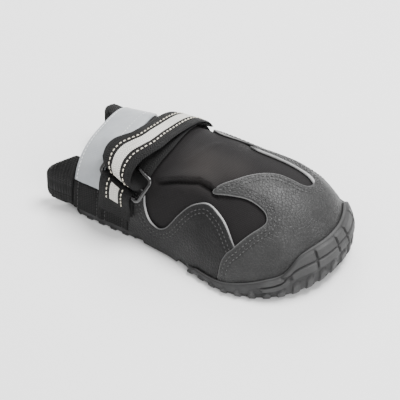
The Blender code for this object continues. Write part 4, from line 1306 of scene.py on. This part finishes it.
def tread(x, y):
    """Depth of the grooves of the sole's underside."""
    depth = np.zeros(x.shape)
    for share in HEEL_TREAD + BALL_TREAD:
        off = np.abs(x - share * LAST_LENGTH)
        depth = np.maximum(depth, GROOVE_DEPTH * ease((0.5 * GROOVE_WIDTH + 0.25 - off) / 0.5))
    share = x / LAST_LENGTH
    pads = np.maximum(window(share, 0.02, 0.02, 0.23, 0.02), window(share, 0.52, 0.03, 0.90, 0.03))
    zigzag = np.abs((x / TREAD_ZIGZAG) % 2.0 - 1.0)
    for row in TREAD_ROWS:
        off = np.abs(y - row - 1.6 * zigzag)
        depth = np.maximum(depth, 0.9 * pads * ease((0.95 - off) / 0.5))
    slots = ease(np.abs(y) - 7.5) * ease((0.2 - zigzag) / 0.12)
    return np.maximum(depth, 0.45 * pads * slots)


def make_sole():
    rings, edge = [], []
    for height in SIDE_RINGS:
        inset = float(np.interp(height, *np.transpose(INSETS)))
        ring, raised = level_ring(sole_level(height), sole_outside(inset), side_relief(height))
        rings.append(ring)
        # The side is paler towards its top and bottom, and the raised lugs and blocks get a
        # painted highlight.
        bright = 0.7 * ease((height - 0.93) / 0.06) + 0.3 * (1 - ease(height / 0.15))
        edge.append(bright + 0.55 * raised)
    for share in RIM_RINGS:
        ring, raised = level_ring(rim_level(share), sole_inside, rear=SOLE_REAR + PLATE_INSET)
        rings.append(ring)
        edge.append(raised)
    points, edge = np.concatenate(rings), np.concatenate(edge)
    count, side = len(rings[0]), SIDE_POINTS
    faces = loop_faces(len(rings), count, caps=False)
    share = np.linspace(0.0, 1.0, REAR_POINTS + 2)[1:-1]
    for ring, base in ((rings[0], 0), (rings[-1], len(points) - count)):
        near, far = ring[1:side], ring[side + 1:2 * side][::-1]
        rows = near[:, None] + (far - near)[:, None] * share[:, None]
        shade = np.zeros(rows.shape[:2])
        if base == 0:
            depth = tread(rows[..., 0], rows[..., 1])
            away = np.minimum(share, 1.0 - share) * np.abs(far[:, 1] - near[:, 1])[:, None]
            rows[..., 2] += depth * ease((away - 0.4) / 0.8)
            # Painted shade: the underside is darker in its tread grooves than on its flats.
            shade = 0.3 * (1.0 - np.clip(tread(rows[..., 0], rows[..., 1]), 0, 1))
        index = np.empty((side, REAR_POINTS + 2), int)
        index[:, 0] = base + np.arange(side)
        index[:, -1] = base + 2 * side - np.arange(side)
        index[0, 1:-1] = base + count - np.arange(1, REAR_POINTS + 1)
        index[1:, 1:-1] = len(points) + np.arange(shade.size).reshape(shade.shape)
        faces += cell_faces(index).tolist()
        tips = index[-1].tolist()
        faces += [[a, b, base + side] for a, b in zip(tips, tips[1:])]
        points = np.concatenate([points, rows.reshape(-1, 3)])
        edge = np.concatenate([edge, shade.ravel()])
    mesh_object(("rubber_sole", "rubber", "sole"), points, faces, RUBBER, points[:, :2], edge,
                sharp=45.0)


def make_insole():
    grow = -UPPER_WALL - GAP
    end = nose_place(lambda x: upper_foot(x) + INSOLE, grow) - INSOLE_FRONT
    places = INSOLE_REAR + (end - INSOLE_REAR) * closing(120)
    section = Section(places, grow)
    grids = []
    for height, quilt in ((INSOLE, 0.12), (0.0, 0.0)):
        z = upper_foot(places) + height
        x, y = spread(places, section.across(z, -1), section.across(z, 1), count=60)
        dimple = quilt * (np.sin(x * 1.6) * np.sin(y * 1.6) - 1.0)
        grids.append(np.stack([x, y, z[:, None] + dimple], axis=-1))
    solid(("insole_pad", "insole_foam", "insole"), *grids, INSOLE_FOAM, grids[0][..., :2])


def area_light(name, place, size, power):
    data = bpy.data.lights.new(name, "AREA")
    data.shape = "DISK"
    data.size = size
    data.energy = power
    lamp = add_object(name, data)
    lamp.location = place
    lamp.rotation_euler = (LAMP_AIM - Vector(place)).to_track_quat("-Z", "Y").to_euler()


def set_stage():
    mesh = bpy.data.meshes.new("floor")
    corners = [(x * FLOOR_REACH, y * FLOOR_REACH, 0)
               for x, y in ((-1, -1), (1, -1), (1, 1), (-1, 1))]
    mesh.from_pydata(corners, [], [(0, 1, 2, 3)])
    f = Finish("floor_paper", 0.9)
    f.colour(f.mix(f.noise(6.0, 3.0), (0.86, 0.86, 0.86), (0.90, 0.90, 0.90)))
    mesh.materials.append(f.made)
    floor = add_object("floor", mesh)
    floor.location.z = -FLOOR_DROP
    world = bpy.data.worlds.new("studio")
    world.use_nodes = True
    back = world.node_tree.nodes["Background"]
    back.inputs["Color"].default_value = (1.0, 1.0, 1.0, 1.0)
    back.inputs["Strength"].default_value = SKY_STRENGTH
    bpy.context.scene.world = world
    for lamp in LAMPS:
        area_light(*lamp)


def set_camera():
    level = math.cos(CAMERA_ELEVATION)
    back = Vector((math.sin(CAMERA_AZIMUTH) * level, -math.cos(CAMERA_AZIMUTH) * level,
                   math.sin(CAMERA_ELEVATION)))
    data = bpy.data.cameras.new("photo_view")
    data.type = "PERSP"
    data.sensor_width = CAMERA_SENSOR
    data.lens = CAMERA_LENS
    data.clip_end = 20.0
    camera = add_object("photo_view", data)
    camera.location = CAMERA_AIM + back * (CAMERA_FIELD * CAMERA_LENS / CAMERA_SENSOR)
    camera.rotation_euler = (-back).to_track_quat("-Z", "Y").to_euler()
    bpy.context.scene.camera = camera


make_body()
make_cap()
make_cap_trim()
make_quarter("near_quarter", -1, "quarter_right")
make_quarter("far_quarter", 1, "quarter_left")
make_heel_panel("near_heel", -1, "heel_panel_right")
make_heel_panel("far_heel", 1, "heel_panel_left")
make_band()
make_collar()
make_webbing("strap_webbing", *strap_path(), "strap")
make_webbing("tab_webbing", *tab_path(), "strap_tab", start=17, stop=0.75)
make_ring()
make_sole()
make_insole()
set_stage()
set_camera()
